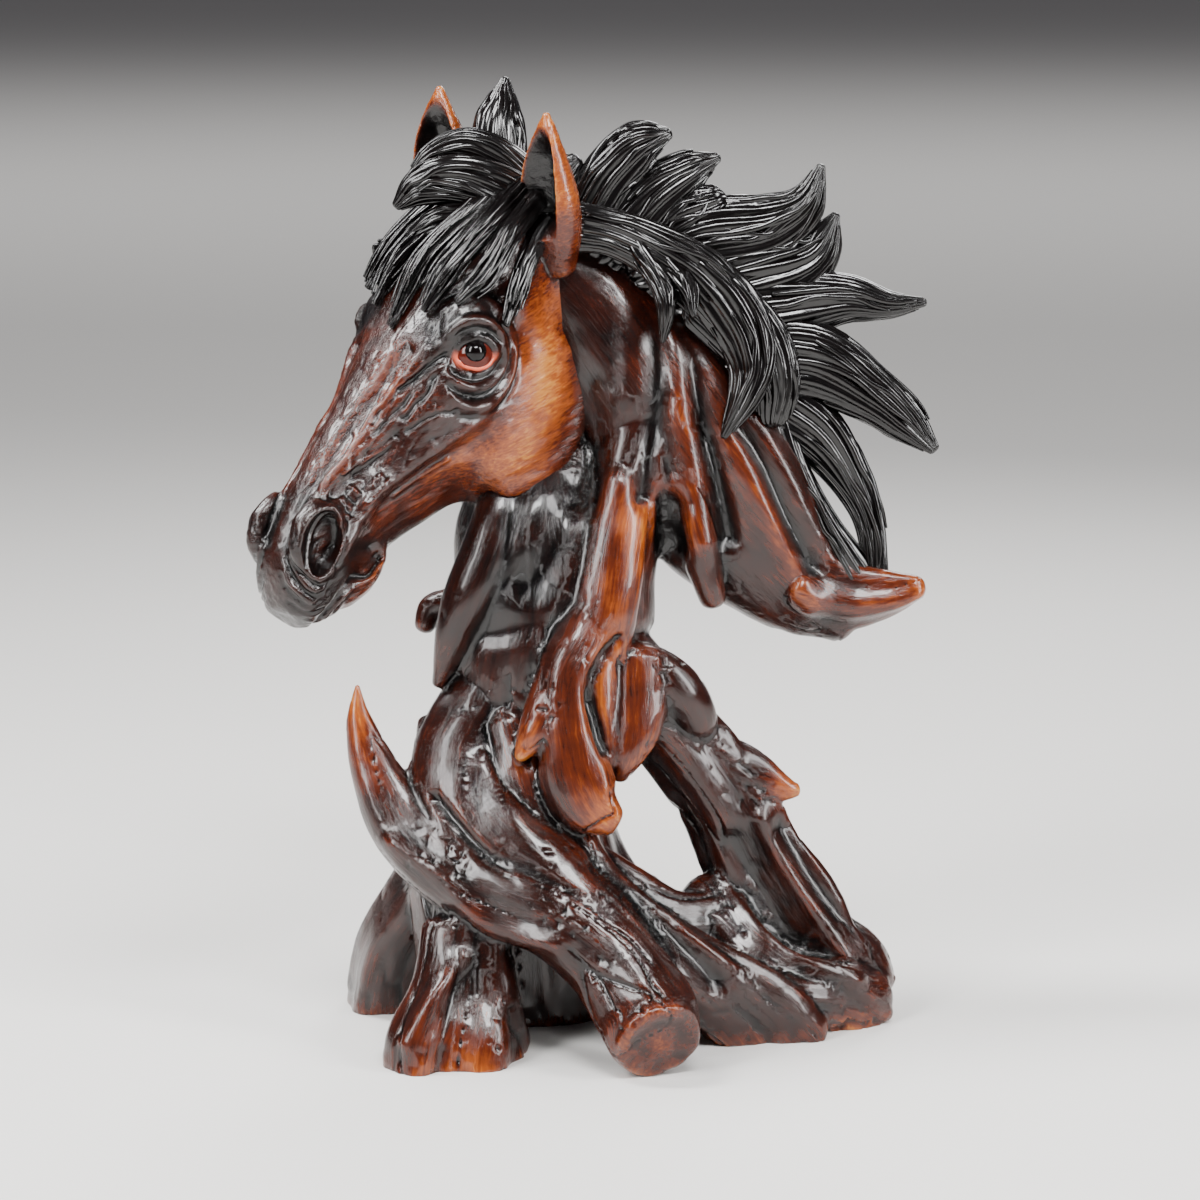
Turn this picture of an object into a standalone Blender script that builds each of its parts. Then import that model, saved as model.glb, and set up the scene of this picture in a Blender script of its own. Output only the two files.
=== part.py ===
"""A cast resin horse head growing out of a driftwood stand, about 310 mm tall.

The figurine is one casting, so it is one solid. It is modelled the way a sculptor
blocks out clay: lofted limbs and locks are laid over each other, fused with a voxel
remesh, smoothed where they flow together, and pressed with soft strokes.

Frame: +Z is up, the stand rests on Z = 0, -Y faces the viewer and the horse looks
towards -X and -Y. Lengths are in millimetres until the finished mesh is scaled.
"""

import math

import bmesh
import bpy
import numpy as np

MM = 0.001
VOXEL = 1.6
MOST_TRIANGLES = 9650


# ---------------------------------------------------------------- clay and its tools


class Clay:
    """Closed shells of points and faces, waiting to be fused into one body."""

    def __init__(self):
        self.points = []
        self.faces = []

    def add(self, points, faces):
        start = len(self.points)
        self.points.extend(tuple(p) for p in points)
        self.faces.extend([tuple(start + i for i in face) for face in faces])


def spline(rows, per_span=8):
    """Points along the Catmull-Rom curve through the rows, whatever a row holds."""
    rows = np.asarray(rows, float)
    padded = np.vstack([2 * rows[0] - rows[1], rows, 2 * rows[-1] - rows[-2]])
    t = np.linspace(0, 1, per_span, endpoint=False)[:, None]
    spans = []
    for p0, p1, p2, p3 in zip(padded, padded[1:], padded[2:], padded[3:]):
        spans.append(
            0.5
            * (
                2 * p1
                + (p2 - p0) * t
                + (2 * p0 - 5 * p1 + 4 * p2 - p3) * t**2
                + (3 * p1 - p0 - 3 * p2 + p3) * t**3
            )
        )
    return np.vstack([*spans, rows[-1:]])


def unit(vector):
    return vector / np.linalg.norm(vector)


def loft(
    clay, rows, facing=(0, -1, 0), ridges=0, depth=0.0, twist=0.0, sides=20, per_span=8, flat_end=False
):
    """A limb along rows of x, y, z, half width and half thickness; facing is its thin way.

    Ridges run along it, as deep as that share of its radius, and turn by twist radians.
    """
    path = spline(rows, per_span)
    centres, widths = path[:, :3], np.maximum(path[:, 3:5], 0.4)
    along = np.gradient(centres, axis=0)
    along /= np.linalg.norm(along, axis=1)[:, None]
    domes = []
    for end, sense, rounded in ((0, -1, True), (-1, 1, not flat_end)):
        turn = np.radians((30, 55, 75) if rounded else ())[:, None]
        reach = 0.7 * widths[end].min() * sense * np.sin(turn)
        domes.append(np.hstack([centres[end] + along[end] * reach, widths[end] * np.cos(turn)]))
    centres = np.vstack([domes[0][::-1, :3], centres, domes[1][:, :3]])
    widths = np.vstack([domes[0][::-1, 3:], widths, domes[1][:, 3:]])
    along = np.vstack([*[along[:1]] * len(domes[0]), along, *[along[-1:]] * len(domes[1])])
    thin = np.asarray(facing, float) - (along @ np.asarray(facing, float))[:, None] * along
    thin /= np.linalg.norm(thin, axis=1)[:, None]
    wide = np.cross(along, thin)
    turn = np.linspace(0, 2 * math.pi, sides, endpoint=False)
    share = np.linspace(0, 1, len(centres))[:, None]
    reach = (1 + depth * np.cos(ridges * (turn + twist * share)))[..., None]
    rings = (
        centres[:, None]
        + wide[:, None] * (np.cos(turn)[:, None] * widths[:, None, :1]) * reach
        + thin[:, None] * (np.sin(turn)[:, None] * widths[:, None, 1:]) * reach
    )
    clay.add(rings.reshape(-1, 3), tube_faces(len(rings), sides))


def tube_faces(rings, sides):
    """Quads between successive rings, and a cap on each end ring."""
    faces = [
        (r * sides + s, r * sides + (s + 1) % sides, (r + 1) * sides + (s + 1) % sides, (r + 1) * sides + s)
        for r in range(rings - 1)
        for s in range(sides)
    ]
    last = (rings - 1) * sides
    return [*faces, tuple(range(sides))[::-1], tuple(last + s for s in range(sides))]


def ball(clay, centre, radii, frame=np.eye(3)):
    """An ellipsoid with its radii along the rows of frame."""
    bm = bmesh.new()
    bmesh.ops.create_uvsphere(bm, u_segments=24, v_segments=16, radius=1)
    points = np.array([v.co for v in bm.verts]) * radii @ frame + centre
    faces = [[v.index for v in f.verts] for f in bm.faces]
    bm.free()
    clay.add(points, faces)


def mesh_arrays(mesh):
    """The mesh's points, normals and faces as arrays."""
    points = np.empty(len(mesh.vertices) * 3, np.float32)
    mesh.vertices.foreach_get("co", points)
    normals = np.empty(len(mesh.vertices) * 3, np.float32)
    mesh.vertex_normals.foreach_get("vector", normals)
    corners = np.empty(len(mesh.loops), np.int32)
    mesh.loops.foreach_get("vertex_index", corners)
    faces = corners.reshape(-1, 4)
    return points.reshape(-1, 3).astype(float), normals.reshape(-1, 3).astype(float), faces


def new_object(name, points, faces):
    mesh = bpy.data.meshes.new(name)
    mesh.from_pydata([tuple(p) for p in points], [], [tuple(f) for f in faces])
    obj = bpy.data.objects.new(name, mesh)
    bpy.context.scene.collection.objects.link(obj)
    return obj


def applied(obj):
    """The object's evaluated mesh; the object itself is removed."""
    graph = bpy.context.evaluated_depsgraph_get()
    mesh = bpy.data.meshes.new_from_object(obj.evaluated_get(graph))
    bpy.data.objects.remove(obj)
    return mesh


def fuse(clay, voxel, blend):
    """One skin over all the clay, smoothed so that joins round off to about blend mm."""
    obj = new_object("clay", clay.points, clay.faces)
    remesh = obj.modifiers.new("Fuse", "REMESH")
    remesh.mode = "VOXEL"
    remesh.voxel_size = voxel
    smooth = obj.modifiers.new("Blend", "SMOOTH")
    smooth.factor = 0.5
    smooth.iterations = max(1, round((blend / voxel) ** 2))
    return mesh_arrays(applied(obj))


# ---------------------------------------------------------------- the head

HEADING = math.radians(43)
NOD = math.radians(46)
POLL = np.array((-27.0, 7.0, 262.5))
NOSEWARD = np.array(
    (-math.cos(HEADING) * math.cos(NOD), -math.sin(HEADING) * math.cos(NOD), -math.sin(NOD))
)
SIDEWARD = np.array((math.sin(HEADING), -math.cos(HEADING), 0))
BROWWARD = np.cross(NOSEWARD, SIDEWARD)
HEAD_FRAME = np.array((NOSEWARD, SIDEWARD, BROWWARD))


def in_head(points):
    """World points as distances noseward, sideward and browward of the poll."""
    return (np.asarray(points, float) - POLL) @ HEAD_FRAME.T


def from_head(points):
    return np.asarray(points, float) @ HEAD_FRAME + POLL


# Stations down the head: noseward, then the brow line's height and half width,
# the cheekbone's height and half width, the jaw's, and the underside's height.
HEAD_STATIONS = (
    (-10, 10, 10, 0, 14, -16, 12, -24),
    (2, 16, 13, 2, 19, -20, 15, -36),
    (20, 20, 16, 6, 23, -31, 17.5, -47),
    (40, 21.5, 17, 6, 25.5, -38, 20.5, -57),
    (56, 20.5, 16, 4, 26, -41, 21, -61),
    (66, 19.5, 14.5, 3, 25, -40, 20.5, -58),
    (75, 18.5, 12.5, 2, 22.5, -34, 18, -50),
    (84, 17.5, 11.5, 0, 20, -23, 13, -39),
    (100, 16, 10, -1, 16, -16, 10.5, -31.5),
    (113, 14.5, 9, -1, 14.5, -13.5, 10, -27),
    (123, 13, 9, 0, 16, -13, 11, -27),
    (133, 10.5, 8.5, -1, 16.5, -13, 12, -25),
    (142, 6, 8, -4, 15, -13, 11, -22.5),
    (149, -1, 6.5, -7, 12, -14, 9, -20),
    (152.5, -6, 4, -9, 7, -13, 5.5, -16.5),
)


def head_section(brow, brow_half, cheek, cheek_half, jaw, jaw_half, under, around=8):
    """A closed section across the head, symmetric about its middle."""
    half = [
        (0, brow),
        (brow_half, brow - 0.2 * (brow - cheek)),
        (cheek_half, cheek),
        (0.94 * max(cheek_half, jaw_half), 0.5 * (cheek + jaw)),
        (jaw_half, jaw),
        (0.45 * jaw_half, under + 0.12 * (jaw - under)),
    ]
    other = [(-b, c) for b, c in half[:0:-1]]
    ring = np.array([*half, (0, under), *other])
    looped = np.vstack([ring[-1:], ring, ring[:2]])
    return spline(looped, around)[around : -around - 1]


def head_block(clay):
    stations = spline(HEAD_STATIONS, 5)
    rings = [
        np.array([(row[0], b, c) for b, c in head_section(*row[1:])]) for row in stations
    ]
    clay.add(from_head(np.vstack(rings)), tube_faces(len(rings), len(rings[0])))
    for side in (-1, 1):
        ball(clay, from_head((48, side * 14.5, -29)), (31, 11.5, 28), HEAD_FRAME)
        ball(clay, from_head((129, side * 10.5, 4)), (13, 6.5, 9.5), HEAD_FRAME)
        ball(clay, from_head((48, side * 19, 8)), (12, 8, 9), HEAD_FRAME)
    ball(clay, from_head((124, 0, -21.5)), (16.5, 9.5, 8.5), HEAD_FRAME)


# Strokes on both sides of the head: points noseward, sideward, browward, then the
# stroke's radius and how far it raises (+) or presses (-) the skin.
EYE = np.array((53.3, 21.5, 2.1))
EYE_OUT = unit(np.array((1, 4, 1.8)))
EYE_LONG = unit(np.array((-0.6, 0.45, -0.67)))
EYE_UP = unit(np.cross(EYE_OUT, EYE_LONG))
EYEBALL = 7.0


def round_eye(long, up, out, start=0, stop=math.pi, count=7):
    """Points of an arc about the eye, in head coordinates, bulging out at its middle."""
    turns = np.linspace(start, stop, count)
    return [
        tuple(
            EYE
            + EYE_LONG * long * math.cos(turn)
            + EYE_UP * up * math.sin(turn)
            + EYE_OUT * (out[0] + (out[1] - out[0]) * abs(math.sin(turn)))
        )
        for turn in turns
    ]


# The nostril: an oval opening, its long and wide directions, and the way it runs inward.
NOSTRIL = np.array((132, 14, 3))
NOSTRIL_LONG = unit(np.array((0.86, 0.2, -0.46)))
NOSTRIL_WIDE = unit(np.array((-0.3, 0.75, -0.58)))
NOSTRIL_IN = unit(np.array((-0.6, -0.65, -0.35)))
NOSTRIL_SIZE = (10.5, 5.6, 8.0)


def nostril_ring(grow, count=13):
    turns = np.linspace(0, 2 * math.pi, count)
    long, wide = NOSTRIL_SIZE[0] + grow, NOSTRIL_SIZE[1] + grow
    return [NOSTRIL + NOSTRIL_LONG * long * math.cos(t) + NOSTRIL_WIDE * wide * math.sin(t) for t in turns]


def nostril_press(folded):
    """How far points in head coordinates move, to open the nostril."""
    offset = folded - NOSTRIL
    long, wide, deep = NOSTRIL_SIZE
    away = np.hypot(offset @ NOSTRIL_LONG / long, offset @ NOSTRIL_WIDE / wide)
    off_plane = np.abs(offset @ np.cross(NOSTRIL_LONG, NOSTRIL_WIDE))
    share = np.clip(1 - away**3.5, 0, 1) * np.clip(2.2 - off_plane / 5, 0, 1)
    return deep * share[:, None] * NOSTRIL_IN


# The slit between the lips, from its corner round to the middle of the muzzle.
MOUTH = (
    (118, 9.5, -22), (125, 11, -20), (131, 12, -18), (137, 12, -17), (142, 10.5, -17),
    (146, 7, -17.5), (149, 0, -18),
)

FACE_STROKES = (
    (round_eye(9, 10, (2, 5), 0.1, 2.9), 3.6, 2.6),
    (round_eye(10, -9, (2, 4), 0.3, 2.8), 2.6, 1.2),
    (((33, 24, 6), (38, 26, -4), (36, 26, -12)), 5, -1.6),
    (((24, 20, 14), (32, 23, 9)), 6, -2.0),
    (((57, 26, 5),), 6.5, -4.0),
    (((64, 24, -13), (75, 22, -11), (88, 19, -7), (101, 16, -3.5), (112, 15, -1)), 3, 1.6),
    (((70, 23, -20), (82, 18, -16), (96, 14, -12), (108, 13, -9)), 4, -2.0),
    (((82, 17, -41), (80, 19, -31), (75, 22, -22)), 4, -1.6),
    (((61, 22, 8), (68, 20, 10), (76, 16, 11), (88, 13, 11)), 2.6, -1.2),
    (((65, 13, 18), (88, 9, 16), (113, 7, 14), (130, 5, 10.5), (137, 5, 7)), 2.6, -1.6),
    (((63, 17, 15), (86, 12.5, 11), (103, 10, 10), (122, 9, 12), (131, 10, 12)), 3, 1.2),
    (((90, 16, 4), (101, 13, 5), (113, 11, 8), (120, 11, 9.5)), 2.6, -1.4),
    (nostril_ring(1.4), 1.9, 1.2),
    (MOUTH, 2.0, -3.4),
    (((118, 10, -17.5), (122, 13, -12.5), (126.5, 15.5, -8.5)), 2.4, -1.8),
    (((147, 5, -12), (139, 13, -12), (130, 15, -13)), 3.0, 1.2),
    (((141, 6, -22), (134, 11, -22), (126, 11, -23)), 3.0, 1.2),
    (((104, 15, -1.5), (116, 15, -2.5), (123, 17, -3.5), (128, 18, -4.5)), 2.6, 1.2),
    (((112, 0, -30), (113, 8, -27)), 4, -0.6),
    (((4, 18, -20), (13, 22, -41), (30, 22, -60), (56, 17, -69), (76, 12, -60)), 5, -6.5),
    (((14, 24, -22), (24, 25, -38), (42, 23, -50), (60, 20, -51), (73, 18, -44)), 5, 2.4),
    (((100, 14, -20), (112, 12, -20)), 3.5, -1.4),
)


def stroke(points, normals, path, radius, rise):
    """Raises or presses the skin along its normals beside a path."""
    line = spline(path, 4) if len(path) > 1 else np.array([path[0], path[0]], float)
    near = np.full(len(points), np.inf)
    for start, stop in zip(line, line[1:]):
        run = stop - start
        share = np.clip((points - start) @ run / max(run @ run, 1e-9), 0, 1)
        near = np.minimum(near, np.sum((points - start - share[:, None] * run) ** 2, axis=1))
    return normals * (rise * np.exp(-near / radius**2))[:, None]


def sculpt(points, normals):
    """The face's strokes, the same on both sides, then the strokes on neck and stand."""
    local = in_head(points)
    turned = normals @ HEAD_FRAME.T
    mirror = np.where(local[:, 1:2] < 0, (1, -1, 1), (1, 1, 1))
    moved = np.zeros_like(points)
    for path, radius, rise in FACE_STROKES:
        moved += stroke(local * mirror, turned * mirror, path, radius, rise)
    moved += nostril_press(local * mirror)
    points = points + (moved * mirror) @ HEAD_FRAME
    moved = np.zeros_like(points)
    flat = np.array((1, 0.35, 1))
    for path, radius, rise in BODY_STROKES:
        moved += stroke(points * flat, normals, path * flat, radius, rise)
    return points + moved


def eyes(clay):
    """Eyeballs with an upper and a lower lid, on both sides."""
    for side in (1, -1):
        turned = np.array((1, side, 1))
        ball(clay, from_head(EYE * turned), (EYEBALL, EYEBALL, EYEBALL), HEAD_FRAME)
        ball(clay, from_head((EYE + 4.1 * EYE_OUT) * turned), (4.2, 4.2, 4.2), HEAD_FRAME)
        for long, up, out, thick in ((7.2, 6.6, 5.4, 1.9), (7.0, -5.8, 4.8, 1.2)):
            arc = round_eye(long, up, (2.4, out))
            arc = [(*from_head(np.array(point) * turned), thick, thick) for point in arc]
            loft(clay, arc, facing=SIDEWARD, per_span=3, sides=8)


EARS = (
    (
        (-13, -9, 252, 6, 6), (-14.5, -12, 262, 10, 8), (-16, -15, 273, 11.5, 8.5),
        (-17, -18, 284, 9, 6.5), (-17, -20, 293, 5, 4), (-17, -21, 300, 1.4, 1.4),
    ),
    (
        (-42, 17, 258, 7, 7), (-47, 17, 270, 11, 8), (-51, 18, 284, 11.5, 7.5),
        (-52.5, 18, 295, 7.5, 5), (-52.5, 18, 307, 1.4, 1.4),
    ),
)
EAR_BACKS = (np.array((0.8, 0.6, 0.05)), np.array((0.5, 0.86, 0.1)))


def ear_hollows(points):
    """Presses a hollow into the front of each ear, leaving a thin rim round it."""
    moved = np.zeros_like(points)
    for rows, back in zip(EARS, EAR_BACKS):
        path = spline(rows, 6)
        heights = path[:, 2]
        x, y, wide, thick = (np.interp(points[:, 2], heights, path[:, i]) for i in (0, 1, 3, 4))
        across = np.cross((0, 0, 1), back)
        from_middle = points[:, :2] - np.column_stack([x, y])
        share = 1 - (from_middle @ across[:2] / (0.84 * wide)) ** 2
        low, high = rows[1][2] - 2, rows[-1][2] - 3
        end = np.clip((points[:, 2] - low) / 8, 0, 1) * np.clip((high - points[:, 2]) / 10, 0, 1)
        front = -from_middle @ back[:2]
        deep = 1.5 * thick * np.clip(share, 0, 1) * end * (front > -0.2 * thick) * (front < 1.4 * thick)
        moved += deep[:, None] * back
    return points + moved


# ---------------------------------------------------------------- neck, trunk and stand

# Rows of x, y, z, half width and half thickness, laid facing the viewer.
FORM = {
    "neck": (
        (-17, 8, 252, 14, 15), (-1, 6, 232, 21, 16), (19, 3, 204, 28, 17),
        (41, 1, 173, 29, 17), (64, 2, 147, 19, 12), (80, 2, 133, 8, 7),
    ),
    "throat": (
        (-18, 13, 240, 17, 14), (-19, 13, 215, 20, 14), (-20, 9, 190, 24, 16), (-18, 0, 168, 28, 20),
        (-14, -5, 148, 28, 22),
    ),
    "trunk": (
        (-18, 4, 190, 18, 10), (-18, -3, 168, 29, 21), (-18, -6, 148, 30, 23), (-21, -6, 121, 31, 24),
        (-26, -5, 94, 26, 25), (-28, -5, 70, 24, 26), (-27, -4, 52, 25, 28),
    ),
    "fold": (
        (-31, -8, 184, 7, 6), (-33, -16, 172, 8, 7), (-37, -20, 158, 9, 8), (-42.5, -22, 145, 8.5, 8),
        (-48, -21, 131, 6, 6.5), (-53, -19, 116, 2.5, 3),
    ),
    "saddle": ((18, 0, 204, 16, 13), (12, -4, 180, 16, 14), (2, -6, 156, 17, 16), (0, -8, 136, 18, 17)),
    "tendon": (
        (15, -2, 196, 6, 6), (9, -11, 182, 9, 7), (5, -18, 167, 10.5, 8), (2.5, -23, 150, 11, 8),
        (0.5, -25, 138, 11, 8), (0, -25, 126, 8, 6),
    ),
    "tongue": (
        (0, -22, 146, 9, 6), (-5, -28, 134, 9.5, 7.5), (-10.5, -33, 124, 9, 8),
        (-11.5, -36, 112, 8.5, 8), (-10, -39, 100, 10, 8), (-7.5, -42, 89.5, 12, 7.5),
        (-3, -44, 81, 10.5, 6.5), (3.5, -45, 76, 6, 4),
    ),
    "lobe": (
        (-14, -33, 120, 7, 6), (-17.5, -36, 110.5, 7, 6.5), (-21.5, -38, 102.5, 5.5, 6),
        (-25.5, -39.5, 96, 2.4, 3.4),
    ),
    "shoulder": ((2, -12, 126, 14, 13), (15, -14, 113, 13, 13), (25, -12, 107, 11, 11)),
    "flap": (
        (10, -20, 124, 13, 8), (10, -25, 112, 12, 7), (9.5, -29, 102, 10, 6), (8, -31, 94, 6.5, 5),
        (6.5, -31, 88, 3, 3),
    ),
    "seam": ((-1, -23, 130, 8, 8), (-1, -27, 114, 8, 8), (0, -30, 102, 7, 7), (1, -32, 93, 5, 6)),
    "hood": (
        (4, -14, 123, 7, 8), (15, -18, 120, 9, 8), (24, -18, 114, 9, 8), (30, -15, 105, 8, 8),
        (32, -12, 98, 6, 6),
    ),
    "pocket": ((2, -8, 124, 14, 12), (8, -12, 108, 12, 11), (9, -14, 96, 8, 8), (9, -15, 90, 5, 5)),
    "horn_root": (
        (-79, -22, 116, 1.5, 1.5), (-78, -23, 104, 4.5, 4), (-72, -27, 86, 8.5, 6.5),
        (-62, -33, 70, 12, 8), (-42, -42, 56, 14, 10), (-18, -50, 48, 14, 12),
        (2, -57, 35, 15.5, 13), (13, -65, 22, 16.5, 14), (17, -72, 15, 16, 14), (19, -78, 12.5, 14, 13),
    ),
    "sheet": (
        (-36, -12, 112, 14, 14), (-44, -21, 92, 18, 14), (-40, -32, 72, 20, 14), (-20, -42, 56, 18, 14),
        (0, -50, 42, 16, 14), (12, -58, 28, 14, 13),
    ),
    "ridge_root": (
        (-30, -20, 102, 13, 12), (-22, -29, 80, 14, 12), (-8, -37, 58, 12, 11), (8, -42, 44, 11, 11),
        (26, -40, 28, 12, 12), (42, -34, 12, 14, 11), (50, -30, 2, 13, 10),
    ),
    "mid_root": (
        (-16, -4, 76, 17, 18), (-5, -8, 50, 15, 18), (11, -14, 34, 13, 17), (30, -15, 25, 14, 17),
        (48, -13, 17, 16, 16), (68, -11, 9, 16, 14),
    ),
    "sill": (
        (-8, -34, 60, 9, 9), (7, -30, 50, 9, 9), (22, -24, 41, 8, 9), (34, -17, 38, 8, 9),
        (46, -9, 38, 8, 8),
    ),
    "mid_fork": (
        (-2, -38, 50, 8, 8), (17, -38, 37, 9, 9), (36, -36, 24, 10, 9), (55, -32, 12, 11, 9),
        (66, -29, 0, 11, 9),
    ),
    "right_fork": (
        (34, -12, 44, 9, 8), (44, -20, 32, 10, 8), (60, -24, 20, 10, 9), (79, -18, 10, 10, 9),
        (89, -10, 2, 9, 9),
    ),
    "right_leg": (
        (15, -11, 107, 12, 13), (29, -9, 92, 14, 12), (42, -8, 73, 15, 11), (51, -7, 54, 17, 10),
        (62, -5, 37, 19, 12), (72, -4, 20, 19, 13), (77, -3, 6, 20, 13),
    ),
    "right_end": ((70, -3, 28, 13, 12), (86, -1, 19, 10, 11), (92, 0, 11, 8, 10)),
    "spike": (
        (34, -8, 90, 10, 8), (50, -9, 83, 9, 5.5), (60, -10, 79.5, 5, 3.5),
        (65, -10, 78.5, 2.5, 2),
    ),
    "left_foot": (
        (-48, -16, 62, 12, 12), (-59, -10, 42, 12, 12), (-69, -3, 24, 12, 12), (-73, 4, 8, 12, 12),
        (-74, 8, -4, 12, 12),
    ),
    "front_foot": (
        (-40, -34, 58, 13, 10), (-41, -43, 38, 13, 10), (-43, -49, 21, 14, 10),
        (-45, -55, 6, 19, 13), (-46, -57, -4, 20, 13),
    ),
    "front_toe": (
        (-50, -46, 40, 7, 7), (-53, -54, 24, 7, 8), (-58, -62, 8, 10, 9), (-59, -64, -3, 10, 9),
    ),
    "inner_toe": ((-36, -46, 34, 7, 7), (-33, -50, 18, 8, 7), (-30, -44, 2, 8, 8)),
    "apron": ((34, -30, 16, 12, 12), (54, -27, 12, 13, 12), (74, -17, 10, 13, 12), (88, -7, 8, 11, 12)),
    "web_left": ((-54, -18, 66, 10, 12), (-48, -24, 44, 14, 16), (-46, -26, 20, 14, 18)),
    "core": ((-28, 2, 76, 20, 22), (-27, 4, 44, 28, 24), (-25, 6, 14, 33, 26), (-24, 6, 0, 32, 26)),
    "knob": ((-44, 5, 139, 5, 6), (-55, 6, 137, 4.5, 4.5), (-58, 5, 131, 3.5, 3.5)),
    "left_stub": ((-46, -10, 94, 8, 8), (-55, -13, 97, 5.5, 6), (-57, -13, 102, 3.5, 4)),
    "back_root": (
        (-24, 4, 104, 14, 8), (-22, 14, 78, 17, 13), (-18, 25, 48, 16, 14), (-10, 35, 22, 17, 14),
        (-4, 42, 2, 20, 14),
    ),
    "back_toe": ((10, 14, 34, 12, 12), (34, 26, 12, 11, 9), (50, 34, 1, 10, 8)),
    "stub": ((66, 0, 146, 12, 11), (80, -1, 142, 11, 9), (94, -2, 143, 8, 7), (104, -3, 145, 4.5, 4.5)),
    "stub_mid": (
        (22, -4, 192, 9, 8), (27, -10, 176, 8, 8), (31, -13, 162, 7, 6.5),
        (35, -14, 150, 5.5, 5.5), (37, -14, 143, 4.5, 4.5),
    ),
}

# Ridges along the roots: how many, how deep, and how far they twist.
GRAIN = {
    "tongue": (5, 0.05, 0.3),
    "right_leg": (4, 0.12, 0.9),
    "horn_root": (5, 0.025, 0.8),
    "mid_root": (5, 0.09, 0.9),
    "ridge_root": (4, 0.08, 0.7),
    "mid_fork": (4, 0.12, 0.8),
    "right_fork": (4, 0.12, 0.8),
    "left_foot": (4, 0.12, 0.6),
    "front_foot": (5, 0.1, 0.4),
    "front_toe": (3, 0.12, 0.5),
    "back_root": (5, 0.1, 0.7),
    "back_toe": (4, 0.1, 0.6),
    "stub": (4, 0.12, 0.6),
    "sill": (4, 0.08, 0.8),
}

# Raised and pressed strokes on the neck and the stand: a path in x, y, z, the radius
# and the rise.
BODY_STROKES = (
    (((-1, -20, 255), (8, -22, 241), (10, -23, 216), (6, -25, 199), (5, -27, 184)), 5.5, 3.0),
    (((6, -20, 257), (16, -22, 239), (19, -22, 216), (16, -24, 193), (15, -24, 178)), 3.5, -4.0),
    (((12, -20, 251), (22, -21, 232), (26, -21, 207), (29, -20, 189), (33, -17, 163)), 5.5, 3.2),
    (((24, -20, 241), (30, -21, 222), (33, -20, 203), (38, -19, 183), (42, -17, 163)), 3.5, -4.2),
    (
        ((31, -18, 231), (38, -19, 214), (45, -19, 195), (53, -17, 175), (63, -15, 155),
         (68, -13, 140)),
        5.5, 3.2,
    ),
    (((43, -17, 202), (53, -16, 188), (61, -14, 170), (69, -12, 154)), 3.5, -4.0),
    (((51, -14, 202), (61, -13, 182), (69, -11, 166), (77, -10, 154)), 5, 2.4),
    (((-4, -22, 214), (-4, -25, 196), (-6, -28, 178)), 4, -3.0),
    (((-8, -20, 182), (-14, -26, 164), (-22, -28, 150)), 7, -3.2),
    (((-36, -27, 134), (-20, -28, 138)), 5, -1.2),
    (((24, -14, 174), (24, -16, 160)), 5, -5.0),
    (((6, -30, 133), (0, -33, 127), (-4.5, -35, 119), (-2, -36, 110), (1, -37, 98)), 2.0, -2.2),
    (((-53, -40, 82), (-42, -44, 71), (-27, -48, 59)), 2.0, -2.2),
    (
        ((30, -84, 13), (25, -84, 22), (15, -84, 23), (8, -84, 14), (13, -84, 4), (24, -84, 3),
         (30, -84, 13)),
        2.2, 1.4,
    ),
    (((-38, -30, 92), (-22, -42, 70), (-2, -50, 52)), 4, 2.0),
    (((0, -52, 64), (13, -54, 52), (26, -52, 38), (38, -46, 24)), 4, -3.5),
    (((-66, -38, 68), (-49, -46, 58), (-34, -54, 43), (-14, -60, 41)), 3.5, 2.5),
    (((53, -18, 70), (64, -18, 50), (76, -18, 32), (84, -16, 18)), 4, 3.0),
    (((45, -18, 62), (55, -20, 42), (66, -20, 24)), 5, -3.0),
    (((60, -16, 66), (72, -14, 46), (84, -12, 32)), 4, -2.0),
    (((-44, -60, 34), (-54, -68, 22), (-62, -74, 10)), 3, 2.5),
)

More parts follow.
